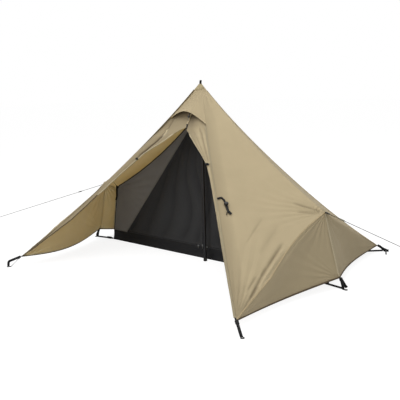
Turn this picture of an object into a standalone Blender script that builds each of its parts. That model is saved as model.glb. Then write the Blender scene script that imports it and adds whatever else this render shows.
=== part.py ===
"""One pole pyramid tent for one person, pitched with both doors tied back and its half inner tent hung.

Metres, +Z up. +X is to the right for someone who faces the door, +Y runs to the rear.
The origin is on the ground, in the middle of the rectangle of the six peg loops.
"""
import math

import bmesh
import bpy
from mathutils import Matrix, Vector

MM = 0.001

# Canopy: the pitched shape, as places of the apex, the corners and the side pull outs
apex_height = 1500 * MM
apex_set_back = 58 * MM
front_left_out = 1128 * MM
front_left_forward = 1022 * MM
front_left_lift = 87 * MM
front_right_out = 1115 * MM
front_right_forward = 1026 * MM
front_right_lift = 61 * MM
side_corner_out = 1302 * MM
side_corner_lift = 87 * MM
rear_corner_out = 1149 * MM
rear_corner_back = 1048 * MM
rear_corner_lift = 57 * MM
pull_out_reach = 1176 * MM
pull_out_height = 555 * MM

# Canopy: how its edges sag between those places
front_left_ridge_sag = 70 * MM
front_right_ridge_sag = 50 * MM
rear_ridge_sag = 105 * MM
side_crease_sag = 55 * MM
side_hem_tuck = 65 * MM
left_hem_dip = 46 * MM
right_hem_dip = 26 * MM
rear_hem_rise_share = 0.035
panel_billow = 14 * MM
ridge_skew_share = 0.88
ridge_fullness_share = 2.2
panel_start_share = 0.024
most_margin_share = 0.2
fabric_thickness = 1.2 * MM
seam_gap = 0.5 * MM
touch_gap = 0.3 * MM

# Vent hood over the door, and the two doors tied back along the front ridges
hood_left_share = 0.168
hood_right_share = 0.19
hood_crown_share = 0.148
hood_lift = 42 * MM
door_top_share = 0.115
door_end_share = 0.985
door_tuck = 4 * MM
door_ridge_clearance = 7 * MM
door_edge_clearance = 0.8 * MM
door_thin = 3 * MM
door_bulk = 17 * MM
door_hem_bulk = 7 * MM
door_pleat_share = 0.34
# Each pair is a share of the way down the ridge, and the share of the half width that is left open there
left_door_edge_shares = (
    (0.0, 0.0), (0.222, 0.0), (0.246, 0.19), (0.282, 0.38), (0.326, 0.59), (0.365, 0.74), (0.414, 0.79),
    (0.475, 0.85), (0.528, 0.88), (0.59, 0.91), (0.75, 0.92), (0.86, 0.965), (0.93, 0.975), (1.0, 0.988))
right_door_edge_shares = (
    (0.0, 0.0), (0.222, 0.0), (0.237, 0.20), (0.277, 0.45), (0.317, 0.65), (0.356, 0.79), (0.394, 0.90),
    (0.447, 0.935), (0.499, 0.952), (0.629, 0.965), (0.752, 0.974), (1.0, 0.988))
door_bulk_shares = ((0.0, 0.0), (0.22, 0.05), (0.31, 0.8), (0.39, 1.0), (0.47, 0.7), (0.57, 0.25), (1.0, 0.0))
door_tuck_low_share = 0.265
door_tuck_run_share = 0.06
door_lean_share = 0.8
left_tie_share = 0.391
right_tie_share = 0.396

# Apex cap and its webbing tab
cap_level_shares = (0.008, 0.018, 0.03, 0.042, 0.055)
cap_clearance = 1.2 * MM
cap_thickness = 1.6 * MM
apex_tab_height = 30 * MM
apex_tab_width = 20 * MM
apex_tab_thickness = 6 * MM
apex_tab_taper_share = 0.5
# Each pair is a share of the tab's height, and the share of its width there
apex_tab_outline_shares = ((0, 1), (0.72, 1), (0.92, 0.8), (1, 0.45))

# Corner webbing: six straps with a ladder lock each, down to a peg eyelet on the ground
peg_front_out = 1212 * MM
peg_front_forward = 1102 * MM
peg_side_out = 1351 * MM
strap_width = 20 * MM
strap_thickness = 2.4 * MM
eyelet_radius = 14 * MM
eyelet_hole_radius = 6 * MM
eyelet_flat = 10 * MM
lock_length = 26 * MM
lock_width = 25 * MM
lock_thickness = 5 * MM
lock_bar = 5 * MM
lock_slot = 3.6 * MM
lock_slot_shares = (0.33, 0.67)

# Side pull outs: webbing tab, guy line and line tensioner
tab_length = 34 * MM
tab_left_clearance = 0.8 * MM
tab_right_clearance = 1.5 * MM
tab_width = 20 * MM
tab_thickness = 4 * MM
guy_radius = 2 * MM
guy_left_end_out = 3000 * MM
guy_left_end_forward = 70 * MM
guy_right_end_out = 2550 * MM
guy_right_end_back = 330 * MM
guy_points = 60
tensioner_length = 42 * MM
tensioner_width = 12 * MM
tensioner_thickness = 8 * MM
tensioner_bore_radius = 2.6 * MM
tensioner_left_out = 380 * MM
tensioner_right_out = 130 * MM

# Centre pole: four push fit sections on a shock cord
pole_foot_out = 70 * MM
pole_foot_forward = 20 * MM
pole_radius = 12.5 * MM
pole_wall = 1.2 * MM
pole_top_drop = 52 * MM
pole_sections = 4
ferrule_length = 62 * MM
ferrule_clearance = 0.3 * MM
foot_radius = 16 * MM
foot_height = 30 * MM
foot_plug = 22 * MM
tip_radius = 5 * MM
tip_rim_share = 0.8
tip_collar = 6 * MM
shock_cord_radius = 2 * MM

# Half inner tent behind the pole
inner_front_y = 32 * MM
inner_lean = 48 * MM
inner_peak_height = 1296 * MM
inner_floor_half_width = 1134 * MM
inner_shoulder_half_width = 1062 * MM
inner_shoulder_height = 532 * MM
inner_rear_half_width = 985 * MM
inner_rear_y = 900 * MM
tub_height = 96 * MM
tub_thickness = 1.5 * MM
inner_thickness = 1.0 * MM
inner_gap = 0.4 * MM
door_seam_half_width = 941 * MM
door_hinge_gap = 0.8 * MM
leaf_top_down = 160 * MM
inner_wall_sag = 10 * MM
slider_length = 16 * MM
slider_width = 9 * MM
slider_thickness = 5 * MM
side_slider_out = 46 * MM
inner_side_start_share = 0.05
inner_fold_share = 0.03
inner_rear_start_share = 0.1
inner_strap_width = 15 * MM
inner_strap_thickness = 2 * MM
corner_cord_radius = 2.5 * MM
shoulder_tie_share = 0.93
shoulder_tie_clearance = 9 * MM
peak_tie_share = 0.075

# Small fittings on the doors
zip_pull_share = 0.197
zip_run_share = 0.1
beside_zip_share = 0.028
zip_pull_length = 50 * MM
zip_pull_width = 9 * MM
zip_pull_thickness = 4 * MM
strut_radius = 4 * MM
strut_door_share = 0.172
strut_span_share = 0.01
strut_hood_share = 0.95
tie_radius = 5 * MM
tie_length = 34 * MM
tie_seat = 0.8 * MM
tie_overlap_share = 0.1
tie_span_share = 0.003
toggle_strap_share = 0.585
toggle_side_share = 0.05
toggle_slant_share = 0.35
toggle_back_share = 0.01
toggle_run_share = 0.08
toggle_spread_share = 0.16
toggle_slope_share = 0.1
toggle_length = 105 * MM
toggle_width = 12 * MM
toggle_thickness = 5 * MM

for old in list(bpy.data.objects):
    bpy.data.objects.remove(old, do_unlink=True)

apex = Vector((0, apex_set_back, apex_height))
front_left = Vector((-front_left_out, -front_left_forward, front_left_lift))
front_right = Vector((front_right_out, -front_right_forward, front_right_lift))
side_left = Vector((-side_corner_out, 0, side_corner_lift))
side_right = Vector((side_corner_out, 0, side_corner_lift))
rear_left = Vector((-rear_corner_out, rear_corner_back, rear_corner_lift))
rear_right = Vector((rear_corner_out, rear_corner_back, rear_corner_lift))
pull_left = Vector((-pull_out_reach, 0, pull_out_height))
pull_right = Vector((pull_out_reach, 0, pull_out_height))
tent_middle = Vector((0, apex_set_back, pull_out_height / 2))


def material(name, colour, roughness, metallic=0.0):
    made = bpy.data.materials.new(name)
    made.use_nodes = True
    shader = made.node_tree.nodes["Principled BSDF"]
    shader.inputs["Base Color"].default_value = (*colour, 1.0)
    shader.inputs["Roughness"].default_value = roughness
    shader.inputs["Metallic"].default_value = metallic
    return made


canvas = material("canvas", (0.45, 0.36, 0.23), 0.9)
webbing = material("webbing", (0.012, 0.012, 0.013), 0.8)
plastic = material("plastic", (0.015, 0.015, 0.016), 0.45)
guy_cord = material("guy_cord", (0.35, 0.35, 0.34), 0.7)
pole_metal = material("pole_metal", (0.03, 0.03, 0.033), 0.35, 0.9)
rubber = material("rubber", (0.02, 0.02, 0.02), 0.75)
groundsheet = material("groundsheet", (0.013, 0.013, 0.014), 0.55)
grey_mesh = material("grey_mesh", (0.07, 0.066, 0.062), 0.85)
black_mesh = material("black_mesh", (0.018, 0.018, 0.019), 0.8)
elastic = material("elastic", (0.012, 0.012, 0.013), 0.85)


def finish(name, mesh, slot, smooth=True):
    mesh.materials.append(slot)
    made = bpy.data.objects.new(name, mesh)
    bpy.context.collection.objects.link(made)
    if smooth:
        mesh.shade_smooth()
        mesh.set_sharp_from_angle(angle=math.radians(40))
    return made


def mesh_from(bm, name):
    bmesh.ops.recalc_face_normals(bm, faces=bm.faces)
    mesh = bpy.data.meshes.new(name)
    bm.to_mesh(mesh)
    bm.free()
    return mesh


def table_value(table, at):
    """Read a table of pairs with straight lines between its rows."""
    for (a0, b0), (a1, b1) in zip(table, table[1:]):
        if at <= a1:
            return b0 + (b1 - b0) * (at - a0) / (a1 - a0)
    return table[-1][1]


def ridge(corner, sag, s):
    """A point a share s of the way from the apex to a corner, on the sagging edge between them."""
    point = apex.lerp(corner, s)
    point.z -= sag * (1 - abs(2 * s ** ridge_skew_share - 1) ** ridge_fullness_share)
    return point


def inward(point, distance):
    return point + (tent_middle - point).normalized() * distance


def sheet_solid(name, rows, thickness, slot, place=None):
    """A thin closed sheet: the rows lie on its outer face, and its back face is moved towards the middle."""
    bm = bmesh.new()
    centre = tent_middle if place is None else place
    front = [[bm.verts.new(p) for p in row] for row in rows]
    back = [[bm.verts.new(p + (centre - p).normalized() * thickness) for p in row] for row in rows]
    last_row = len(rows) - 1
    last_column = len(rows[0]) - 1
    for i in range(last_row):
        for j in range(last_column):
            for side in (front, back):
                bm.faces.new((side[i][j], side[i + 1][j], side[i + 1][j + 1]))
                bm.faces.new((side[i][j], side[i + 1][j + 1], side[i][j + 1]))
    for i in range(last_row):
        for j in (0, last_column):
            bm.faces.new((front[i][j], front[i + 1][j], back[i + 1][j], back[i][j]))
    for j in range(last_column):
        for i in (0, last_row):
            bm.faces.new((front[i][j], front[i][j + 1], back[i][j + 1], back[i][j]))
    return finish(name, mesh_from(bm, name), slot)


def ring_solid(name, rings, slot):
    """A closed tube through a list of rings, with a flat cap on each end."""
    bm = bmesh.new()
    made = [[bm.verts.new(p) for p in ring] for ring in rings]
    count = len(rings[0])
    for lower, upper in zip(made, made[1:]):
        for k in range(count):
            n = (k + 1) % count
            bm.faces.new((lower[k], lower[n], upper[n]))
            bm.faces.new((lower[k], upper[n], upper[k]))
    bm.faces.new(made[0])
    bm.faces.new(made[-1])
    return finish(name, mesh_from(bm, name), slot)


nearly_upright = 0.001


def axes_along(start, end, up=Vector((0, 0, 1))):
    """Three unit vectors: along the line, level across it, and square to both."""
    along = (end - start).normalized()
    across = along.cross(up)
    if across.length < nearly_upright:
        across = Vector((1, 0, 0))
    across.normalize()
    return along, across, across.cross(along).normalized()


def bar(name, start, end, width, thickness, slot, up=Vector((0, 0, 1))):
    """A flat bar from one point to another."""
    along, across, square = axes_along(start, end, up)
    rings = []
    for end_point in (start, end):
        rings.append([end_point + across * (width / 2 * a) + square * (thickness / 2 * b)
                      for a, b in ((-1, -1), (1, -1), (1, 1), (-1, 1))])
    return ring_solid(name, rings, slot)


def rod(name, start, end, radius, slot, sides=12):
    """A round rod from one point to another."""
    along, across, square = axes_along(start, end)
    rings = []
    for end_point in (start, end):
        rings.append([end_point + across * (radius * math.cos(2 * math.pi * k / sides))
                      + square * (radius * math.sin(2 * math.pi * k / sides)) for k in range(sides)])
    return ring_solid(name, rings, slot)


def turned(name, start, along, profile, slot, sides=24):
    """A turned solid: a closed outline of radius and distance pairs, spun about an axis."""
    along, across, square = axes_along(start, start + along)
    bm = bmesh.new()
    columns = []
    for k in range(sides):
        angle = 2 * math.pi * k / sides
        out = across * math.cos(angle) + square * math.sin(angle)
        columns.append([out * r + start + along * h for r, h in profile])
    on_axis = {}
    for i, (r, h) in enumerate(profile):
        if r == 0:
            on_axis[i] = bm.verts.new(start + along * h)
    made = [[on_axis.get(i) or bm.verts.new(p) for i, p in enumerate(column)] for column in columns]
    count = len(profile)
    for k in range(sides):
        one, two = made[k], made[(k + 1) % sides]
        for i in range(count):
            n = (i + 1) % count
            corners = []
            for v in (one[i], one[n], two[n], two[i]):
                if v not in corners:
                    corners.append(v)
            if len(corners) > 2:
                bm.faces.new(corners)
    return finish(name, mesh_from(bm, name), slot)


def cut(target, cutter_name, start, end, radius, sides=16):
    """Bore a round hole through a piece."""
    cutter = rod(cutter_name, start, end, radius, plastic, sides)
    cutter.hide_render = True
    cutter.display_type = "WIRE"
    bore = target.modifiers.new("bore", "BOOLEAN")
    bore.operation = "DIFFERENCE"
    bore.solver = "EXACT"
    bore.object = cutter


def margin(left, right, gap=seam_gap):
    """The share of the way between two edge points that a seam gap takes."""
    width = (right - left).length
    return min(most_margin_share, gap / width) if width > 0 else most_margin_share


# Canopy walls. Every wall is read off these functions, so neighbours share their seams. A side is 1 for the
# right one and -1 for the left one
def front_ridge(side, s):
    if side > 0:
        return ridge(front_right, front_right_ridge_sag, s)
    return ridge(front_left, front_left_ridge_sag, s)


def rear_ridge(side, s):
    return ridge(rear_right if side > 0 else rear_left, rear_ridge_sag, s)


def pull_crease(side, s):
    return ridge(pull_right if side > 0 else pull_left, side_crease_sag, s)


def side_wall(side, s, v):
    """A side's upper wall: from its front ridge, over the crease of the pull out, to its rear ridge."""
    near = front_ridge(side, s)
    crease = pull_crease(side, s)
    far = rear_ridge(side, s)
    if v <= 0.5:
        point = near.lerp(crease, 2 * v)
    else:
        point = crease.lerp(far, 2 * v - 1)
    return inward(point, panel_billow * math.sin(math.pi * s) * abs(math.sin(2 * math.pi * v)))


def rear_wall(s, v):
    point = rear_ridge(1, s).lerp(rear_ridge(-1, s), v)
    return inward(point, panel_billow * math.sin(math.pi * s) * math.sin(math.pi * v))


def front_wall(s, v):
    return front_ridge(-1, s).lerp(front_ridge(1, s), v)


def mirrored(point):
    return Vector((-point.x, point.y, point.z))


wall_rows = 18
row_crowding_share = 1.4
wall_columns = 12


def wall_grid(side):
    rows = []
    end = 1 - seam_gap / (apex - pull_crease(side, 1)).length
    for i in range(wall_rows + 1):
        s = panel_start_share + (end - panel_start_share) * (i / wall_rows) ** row_crowding_share
        first = margin(side_wall(side, s, 0), side_wall(side, s, 0.5)) / 2
        rows.append([side_wall(side, s, first + (1 - 2 * first) * j / wall_columns)
                     for j in range(wall_columns + 1)])
    return rows


sheet_solid("wall_right_upper", wall_grid(1), fabric_thickness, canvas)
sheet_solid("wall_left_upper", wall_grid(-1), fabric_thickness, canvas)

rear_rows = []
for i in range(wall_rows + 1):
    row = []
    for j in range(wall_columns + 1):
        v = j / wall_columns
        end = 1 - rear_hem_rise_share * math.sin(math.pi * v) - seam_gap / (apex - rear_right).length
        s = panel_start_share + (end - panel_start_share) * (i / wall_rows) ** row_crowding_share
        first = margin(rear_wall(s, 0), rear_wall(s, 1))
        row.append(rear_wall(s, first + (1 - 2 * first) * v))
    rear_rows.append(row)
sheet_solid("wall_rear", rear_rows, fabric_thickness, canvas)

lower_rows = 8
lower_columns = 12
lower_start_share = 0.02


def side_hem(corner, far_corner, v):
    """The hem between two pegged corners, tucked in and dipping in its middle."""
    point = corner.lerp(far_corner, v)
    swell = math.sin(math.pi * v)
    point.x -= math.copysign(side_hem_tuck * swell, point.x)
    point.z -= (right_hem_dip if point.x > 0 else left_hem_dip) * swell
    return point


def lower_grid(pull, corner, far_corner):
    rows = []
    for i in range(lower_rows + 1):
        u = lower_start_share + (1 - lower_start_share) * i / lower_rows
        first = min(most_margin_share, seam_gap / (u * (far_corner - corner).length))
        row = []
        for j in range(lower_columns + 1):
            v = first + (1 - 2 * first) * j / lower_columns
            row.append(pull.lerp(side_hem(corner, far_corner, v), u))
        rows.append(row)
    return rows


for side, pull, front, middle, rear in (("right", pull_right, front_right, side_right, rear_right),
                                        ("left", pull_left, front_left, side_left, rear_left)):
    sheet_solid("wall_%s_front_lower" % side, lower_grid(pull, front, middle), fabric_thickness, canvas)
    sheet_solid("wall_%s_rear_lower" % side, lower_grid(pull, middle, rear), fabric_thickness, canvas)

# Front top with its vent hood, propped out over the door
front_normal = (front_right - apex).cross(front_left - apex).normalized()
if front_normal.y > 0:
    front_normal = -front_normal


def hood(t, v):
    """A point on the front top, a share t of the way from its top edge to the hood's free edge."""
    arch = math.sin(math.pi * v)
    side_end = hood_left_share + (hood_right_share - hood_left_share) * v
    end = side_end + (hood_crown_share - side_end) * arch
    s = panel_start_share + (end - panel_start_share) * t
    return front_wall(s, v) + front_normal * (hood_lift * arch ** 2 * t ** 4)


hood_rows = 8
front_rows = []
for i in range(hood_rows + 1):
    row = []
    for j in range(wall_columns + 1):
        t = i / hood_rows
        first = margin(hood(t, 0), hood(t, 1), door_edge_clearance)
        row.append(hood(t, first + (1 - 2 * first) * j / wall_columns))
    front_rows.append(row)
sheet_solid("wall_front_top", front_rows, fabric_thickness, canvas)

# Doors, gathered and tied back along the front ridges
door_rings = 26
door_sides = 20


def door_ring(s, edges, side):
    """One cross section of a gathered door. Side is 1 for the right door and -1 for the left one."""
    tucked = min(1, max(0, (door_tuck_low_share - s) / door_tuck_run_share))
    bulk = table_value(door_bulk_shares, s)
    swell = door_thin + (door_hem_bulk - door_thin) * min(1, s / 0.5) * (1 - s) ** 0.5 + door_bulk * bulk
    at_ridge = front_ridge(side, s)
    middle = front_wall(s, 0.5)
    level = (at_ridge - middle).normalized()
    half = (at_ridge - middle).length
    outer = half - door_ridge_clearance * tucked - door_edge_clearance
    inner = max(door_edge_clearance, half * table_value(edges, s))
    inner = min(inner, outer - door_thin)
    centre = middle + level * ((outer + inner) / 2) - front_normal * ((door_tuck + 2 * swell) * tucked)
    width = (outer - inner) / 2
    lean = door_bulk * bulk * door_lean_share / 2
    ring = []
    for k in range(door_sides):
        angle = 2 * math.pi * k / door_sides
        pleat = 1 + door_pleat_share * bulk * math.cos(6 * angle)
        forward = swell * pleat * math.sin(angle) + lean * (1 - math.cos(angle))
        ring.append(centre + level * (width * math.cos(angle)) + front_normal * forward)
    return ring


door_edges = {-1: left_door_edge_shares, 1: right_door_edge_shares}
for name, side in (("door_left", -1), ("door_right", 1)):
    rings = []
    for i in range(door_rings + 1):
        s = door_top_share + (door_end_share - door_top_share) * i / door_rings
        rings.append(door_ring(s, door_edges[side], side))
    ring_solid(name, rings, canvas)

# Apex cap, a reinforced cone over the tops of the walls, with a webbing tab
cap_sides = 24


def cap_ring(s, push):
    corners = (front_ridge(1, s), pull_crease(1, s), rear_ridge(1, s), rear_wall(s, 0.5),
               rear_ridge(-1, s), pull_crease(-1, s), front_ridge(-1, s), front_wall(s, 0.5))
    ring = []
    for k in range(cap_sides):
        place = k * len(corners) / cap_sides
        first = int(place)
        point = corners[first].lerp(corners[(first + 1) % len(corners)], place - first)
        out = Vector((point.x - apex.x, point.y - apex.y, 0)).normalized()
        ring.append(point + out * push)
    return ring


bm = bmesh.new()
outside = [[bm.verts.new(p) for p in cap_ring(s, cap_clearance + cap_thickness)] for s in cap_level_shares]
inside = [[bm.verts.new(p) for p in cap_ring(s, cap_clearance)] for s in cap_level_shares[1:]]
for wall in (outside, inside):
    for lower, upper in zip(wall, wall[1:]):
        for k in range(cap_sides):
            n = (k + 1) % cap_sides
            bm.faces.new((lower[k], lower[n], upper[n]))
            bm.faces.new((lower[k], upper[n], upper[k]))
for k in range(cap_sides):
    n = (k + 1) % cap_sides
    bm.faces.new((outside[-1][k], outside[-1][n], inside[-1][n], inside[-1][k]))
top_height = sum(v.co.z for v in outside[0]) / cap_sides
for v in outside[0]:
    v.co.z = top_height
under_height = max(v.co.z for v in inside[0])
for ring, height in ((outside[0], top_height), (inside[0], under_height)):
    middle = bm.verts.new((apex.x, apex.y, height))
    for k in range(cap_sides):
        bm.faces.new((ring[k], ring[(k + 1) % cap_sides], middle))
# The underside is a shallow cone, so the pole's tip stops a little below its middle
under_slope = max((under_height - v.co.z) / (v.co.xy - apex.xy).length for v in inside[0])
finish("apex_cap", mesh_from(bm, "apex_cap"), canvas)
cap_top = Vector((apex.x, apex.y, top_height))
cap_under = Vector((apex.x, apex.y, under_height - under_slope * tip_radius))

tab_base = cap_top + Vector((0, 0, touch_gap))
tab_rings = []
for h_share, w_share in apex_tab_outline_shares:
    level = tab_base + Vector((0, 0, apex_tab_height * h_share))
    half_width = apex_tab_width / 2 * w_share
    half_depth = apex_tab_thickness / 2 * (1 - apex_tab_taper_share * h_share)
    tab_rings.append([level + Vector((half_width * a, half_depth * b, 0))
                      for a, b in ((-1, -1), (1, -1), (1, 1), (-1, 1))])
ring_solid("apex_tab", tab_rings, webbing)

# Corner webbing
ground_pegs = {
    "front_left": (front_left, Vector((-peg_front_out, -peg_front_forward, 0))),
    "front_right": (front_right, Vector((peg_front_out, -peg_front_forward, 0))),
    "side_left": (side_left, Vector((-peg_side_out, 0, 0))),
    "side_right": (side_right, Vector((peg_side_out, 0, 0))),
    "rear_left": (rear_left, Vector((-peg_front_out, peg_front_forward, 0))),
    "rear_right": (rear_right, Vector((peg_front_out, peg_front_forward, 0))),
}
eyelet_sides = 20
strap_landings = {}
for place, (corner, peg) in ground_pegs.items():
    level = Vector((peg.x - corner.x, peg.y - corner.y, 0)).normalized()
    landing = peg - level * (eyelet_radius + eyelet_flat)
    landing.z = strap_thickness
    strap_landings[place] = (corner, landing)
    down = (landing - corner).normalized()
    across = Vector((-level.y, level.x, 0))
    square = across.cross(down).normalized()
    if square.z < 0:
        square = -square
    # Ladder lock: a flat frame with two slots for the webbing
    start = corner + down * touch_gap
    finish_point = start + down * lock_length
    lock = bar("lock_" + place, start, finish_point, lock_width, lock_thickness, plastic)
    for number, share in enumerate(lock_slot_shares):
        middle = start.lerp(finish_point, share)
        half_slot = down * (lock_slot / 2)
        slot_cutter = bar("slot_cutter_%s_%d" % (place, number), middle - half_slot, middle + half_slot,
                          lock_width - 2 * lock_bar, 2 * lock_thickness, plastic)
        slot_cutter.hide_render = True
        slot_cutter.display_type = "WIRE"
        window = lock.modifiers.new("slot", "BOOLEAN")
        window.operation = "DIFFERENCE"
        window.solver = "EXACT"
        window.object = slot_cutter
    # Strap: a band down to the ground, then flat, with a round eyelet for the peg
    top = finish_point + down * touch_gap
    rings = [[top + across * (strap_width / 2 * a) + square * (strap_thickness * b)
              for a, b in ((-1, 0), (1, 0), (1, 1), (-1, 1))]]
    # The band turns level at the landing, so its flat part lies on the ground
    bend = landing + level * eyelet_flat / 2
    rings.append([landing + across * (strap_width / 2 * a) + Vector((0, 0, strap_thickness * (b - 1)))
                  for a, b in ((-1, 0), (1, 0), (1, 1), (-1, 1))])
    rings.append([bend + across * (strap_width / 2 * a) + Vector((0, 0, strap_thickness * (b - 1)))
                  for a, b in ((-1, 0), (1, 0), (1, 1), (-1, 1))])
    for k in range(eyelet_sides // 2 + 1):
        angle = math.pi * k / (eyelet_sides // 2)
        least_width = strap_width / 2 if angle < math.pi / 2 else strap_thickness
        width = max(eyelet_radius * math.sin(angle), least_width)
        point = peg - level * (eyelet_radius * math.cos(angle))
        point.z = strap_thickness
        rings.append([point + across * (width * a) + Vector((0, 0, strap_thickness * (b - 1)))
                      for a, b in ((-1, 0), (1, 0), (1, 1), (-1, 1))])
    strap = ring_solid("strap_" + place, rings, webbing)
    cut(strap, "eyelet_cutter_" + place, peg - Vector((0, 0, strap_thickness)),
        peg + Vector((0, 0, 3 * strap_thickness)), eyelet_hole_radius)

# Side pull outs
for side, name, end_out, end_back, clearance, slide_out in (
        (-1, "left", guy_left_end_out, -guy_left_end_forward, tab_left_clearance, tensioner_left_out),
        (1, "right", guy_right_end_out, guy_right_end_back, tab_right_clearance, tensioner_right_out)):
    pull = pull_left if side < 0 else pull_right
    ground = Vector((side * end_out, end_back, guy_radius))
    along = (ground - pull).normalized()
    tab_start = pull + along * clearance
    tab_end = tab_start + along * tab_length
    bar("pull_tab_" + name, tab_start, tab_end, tab_width, tab_thickness, webbing)
    line_start = tab_end + along * touch_gap
    curve = bpy.data.curves.new("guy_line_" + name, "CURVE")
    curve.dimensions = "3D"
    curve.bevel_depth = guy_radius
    curve.bevel_resolution = 2
    curve.use_fill_caps = True
    spline = curve.splines.new("POLY")
    spline.points.add(guy_points - 1)
    for k in range(guy_points):
        point = line_start.lerp(ground, k / (guy_points - 1))
        spline.points[k].co = (point.x, point.y, point.z, 1)
    curve.materials.append(guy_cord)
    line = bpy.data.objects.new("guy_line_" + name, curve)
    bpy.context.collection.objects.link(line)
    middle = pull + along * slide_out
    half_runner = along * (tensioner_length / 2)
    runner = bar("tensioner_" + name, middle - half_runner, middle + half_runner,
                 tensioner_width, tensioner_thickness, plastic)
    runner.data.transform(Matrix.Translation(-middle))
    runner.location = middle
    cut(runner, "line_cutter_" + name, middle - along * tensioner_length, middle + along * tensioner_length,
        tensioner_bore_radius)

# Centre pole
pole_foot = Vector((pole_foot_out, -pole_foot_forward, 0))
pole_axis = (apex - pole_foot).normalized()
pole_top = pole_foot + pole_axis * ((apex - pole_foot).length - pole_top_drop)
foot_top = pole_foot + pole_axis * foot_height
tube_length = (pole_top - foot_top).length
section_length = tube_length / pole_sections
inner_radius = pole_radius - pole_wall
ferrule_radius = inner_radius - ferrule_clearance
ferrule_wall = ferrule_radius - pole_wall
for number in range(pole_sections):
    start = foot_top + pole_axis * (section_length * number)
    length = section_length - touch_gap
    profile = [(inner_radius, 0), (pole_radius, 0), (pole_radius, length)]
    if number < pole_sections - 1:
        profile += [(ferrule_radius, length), (ferrule_radius, length + ferrule_length),
                    (ferrule_wall, length + ferrule_length), (ferrule_wall, length - ferrule_length),
                    (inner_radius, length - ferrule_length)]
    else:
        profile += [(inner_radius, length)]
    turned("pole_section_%d" % (number + 1), start, pole_axis, profile, pole_metal)

foot_profile = [(0, -foot_height / 2), (foot_radius, -foot_height / 2), (foot_radius, foot_height / 2),
                (pole_radius + pole_wall, foot_height - touch_gap), (ferrule_wall, foot_height - touch_gap),
                (ferrule_wall, foot_height + foot_plug), (0, foot_height + foot_plug)]
foot = turned("pole_foot", pole_foot, pole_axis, foot_profile, rubber)
flat = bmesh.new()
flat.from_mesh(foot.data)
cut_faces = bmesh.ops.bisect_plane(flat, geom=flat.verts[:] + flat.edges[:] + flat.faces[:], dist=0.00001,
                                   plane_co=Vector((0, 0, 0)), plane_no=Vector((0, 0, -1)), clear_outer=True)
rim = [item for item in cut_faces["geom_cut"] if isinstance(item, bmesh.types.BMEdge)]
bmesh.ops.contextual_create(flat, geom=rim)
bmesh.ops.recalc_face_normals(flat, faces=flat.faces)
flat.to_mesh(foot.data)
flat.free()

tip_start = pole_top
tip_reach = (cap_under - tip_start).dot(pole_axis) - touch_gap * 2
tip_profile = [(0, -foot_plug), (ferrule_wall, -foot_plug), (ferrule_wall, 0), (pole_radius, 0),
               (pole_radius, tip_collar), (tip_radius, tip_collar), (tip_radius * tip_rim_share, tip_reach),
               (0, tip_reach + under_slope * tip_radius)]
turned("pole_tip", tip_start, pole_axis, tip_profile, plastic)

cord_start = foot_top + pole_axis * (foot_plug + touch_gap)
cord_end = pole_top - pole_axis * (foot_plug + touch_gap)
rod("pole_shock_cord", cord_start, cord_end, shock_cord_radius, elastic, 8)

# Half inner tent
inner_slope = inner_lean / inner_peak_height


def inner_front(x, z):
    """A point on the front face of the inner tent."""
    return Vector((x, inner_front_y + inner_slope * z, z))


peak = inner_front(0, inner_peak_height)
inner_middle = Vector((0, (inner_front_y + inner_rear_y) / 2, inner_shoulder_height / 2))
tub_front_left = Vector((-inner_floor_half_width, inner_front_y, 0))
tub_front_right = Vector((inner_floor_half_width, inner_front_y, 0))
tub_rear_left = Vector((-inner_rear_half_width, inner_rear_y, 0))
tub_rear_right = Vector((inner_rear_half_width, inner_rear_y, 0))


def inner_half_width(z):
    """Half the width of the inner tent's front at a height below its shoulder."""
    narrowing = (inner_floor_half_width - inner_shoulder_half_width) / inner_shoulder_height
    return inner_floor_half_width - narrowing * z


def tub_rim(corner):
    if corner.y < inner_middle.y:
        return inner_front(math.copysign(inner_half_width(tub_height), corner.x), tub_height)
    return Vector((corner.x, corner.y, tub_height))


bm = bmesh.new()
tub_corners = (tub_front_left, tub_front_right, tub_rear_right, tub_rear_left)
outer_base = [bm.verts.new(c) for c in tub_corners]
outer_rim = [bm.verts.new(tub_rim(c)) for c in tub_corners]


def tub_inset(point):
    return Vector((point.x - math.copysign(tub_thickness * 1.2, point.x),
                   point.y + (tub_thickness if point.y < inner_middle.y else -tub_thickness), point.z))


inner_base = [bm.verts.new(tub_inset(c) + Vector((0, 0, tub_thickness))) for c in tub_corners]
inner_rim = [bm.verts.new(tub_inset(tub_rim(c))) for c in tub_corners]
bm.faces.new(outer_base)
bm.faces.new(inner_base)
for k in range(4):
    n = (k + 1) % 4
    bm.faces.new((outer_base[k], outer_base[n], outer_rim[n], outer_rim[k]))
    bm.faces.new((inner_base[k], inner_base[n], inner_rim[n], inner_rim[k]))
    bm.faces.new((outer_rim[k], outer_rim[n], inner_rim[n], inner_rim[k]))
finish("inner_tub", mesh_from(bm, "inner_tub"), groundsheet, smooth=False)

panel_base = tub_height + inner_gap
shoulder = inner_front(inner_shoulder_half_width, inner_shoulder_height)
rim_front = inner_front(inner_half_width(panel_base), panel_base)
rim_rear = Vector((inner_rear_half_width, inner_rear_y, panel_base))
seam_foot = inner_front(door_seam_half_width, panel_base)
behind = Vector((0, 1, 0))


def plate(name, points, thickness, slot, flip):
    """A flat panel: an outline in the front face of the inner tent, given its thickness to the rear."""
    bm = bmesh.new()
    if flip:
        points = [mirrored(p) for p in points]
    push = behind * thickness
    face = [bm.verts.new(p) for p in points]
    back = [bm.verts.new(p + push) for p in points]
    bm.faces.new(face)
    bm.faces.new(back)
    count = len(points)
    for k in range(count):
        n = (k + 1) % count
        bm.faces.new((face[k], face[n], back[n], back[k]))
    return finish(name, mesh_from(bm, name), slot, smooth=False)


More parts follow.
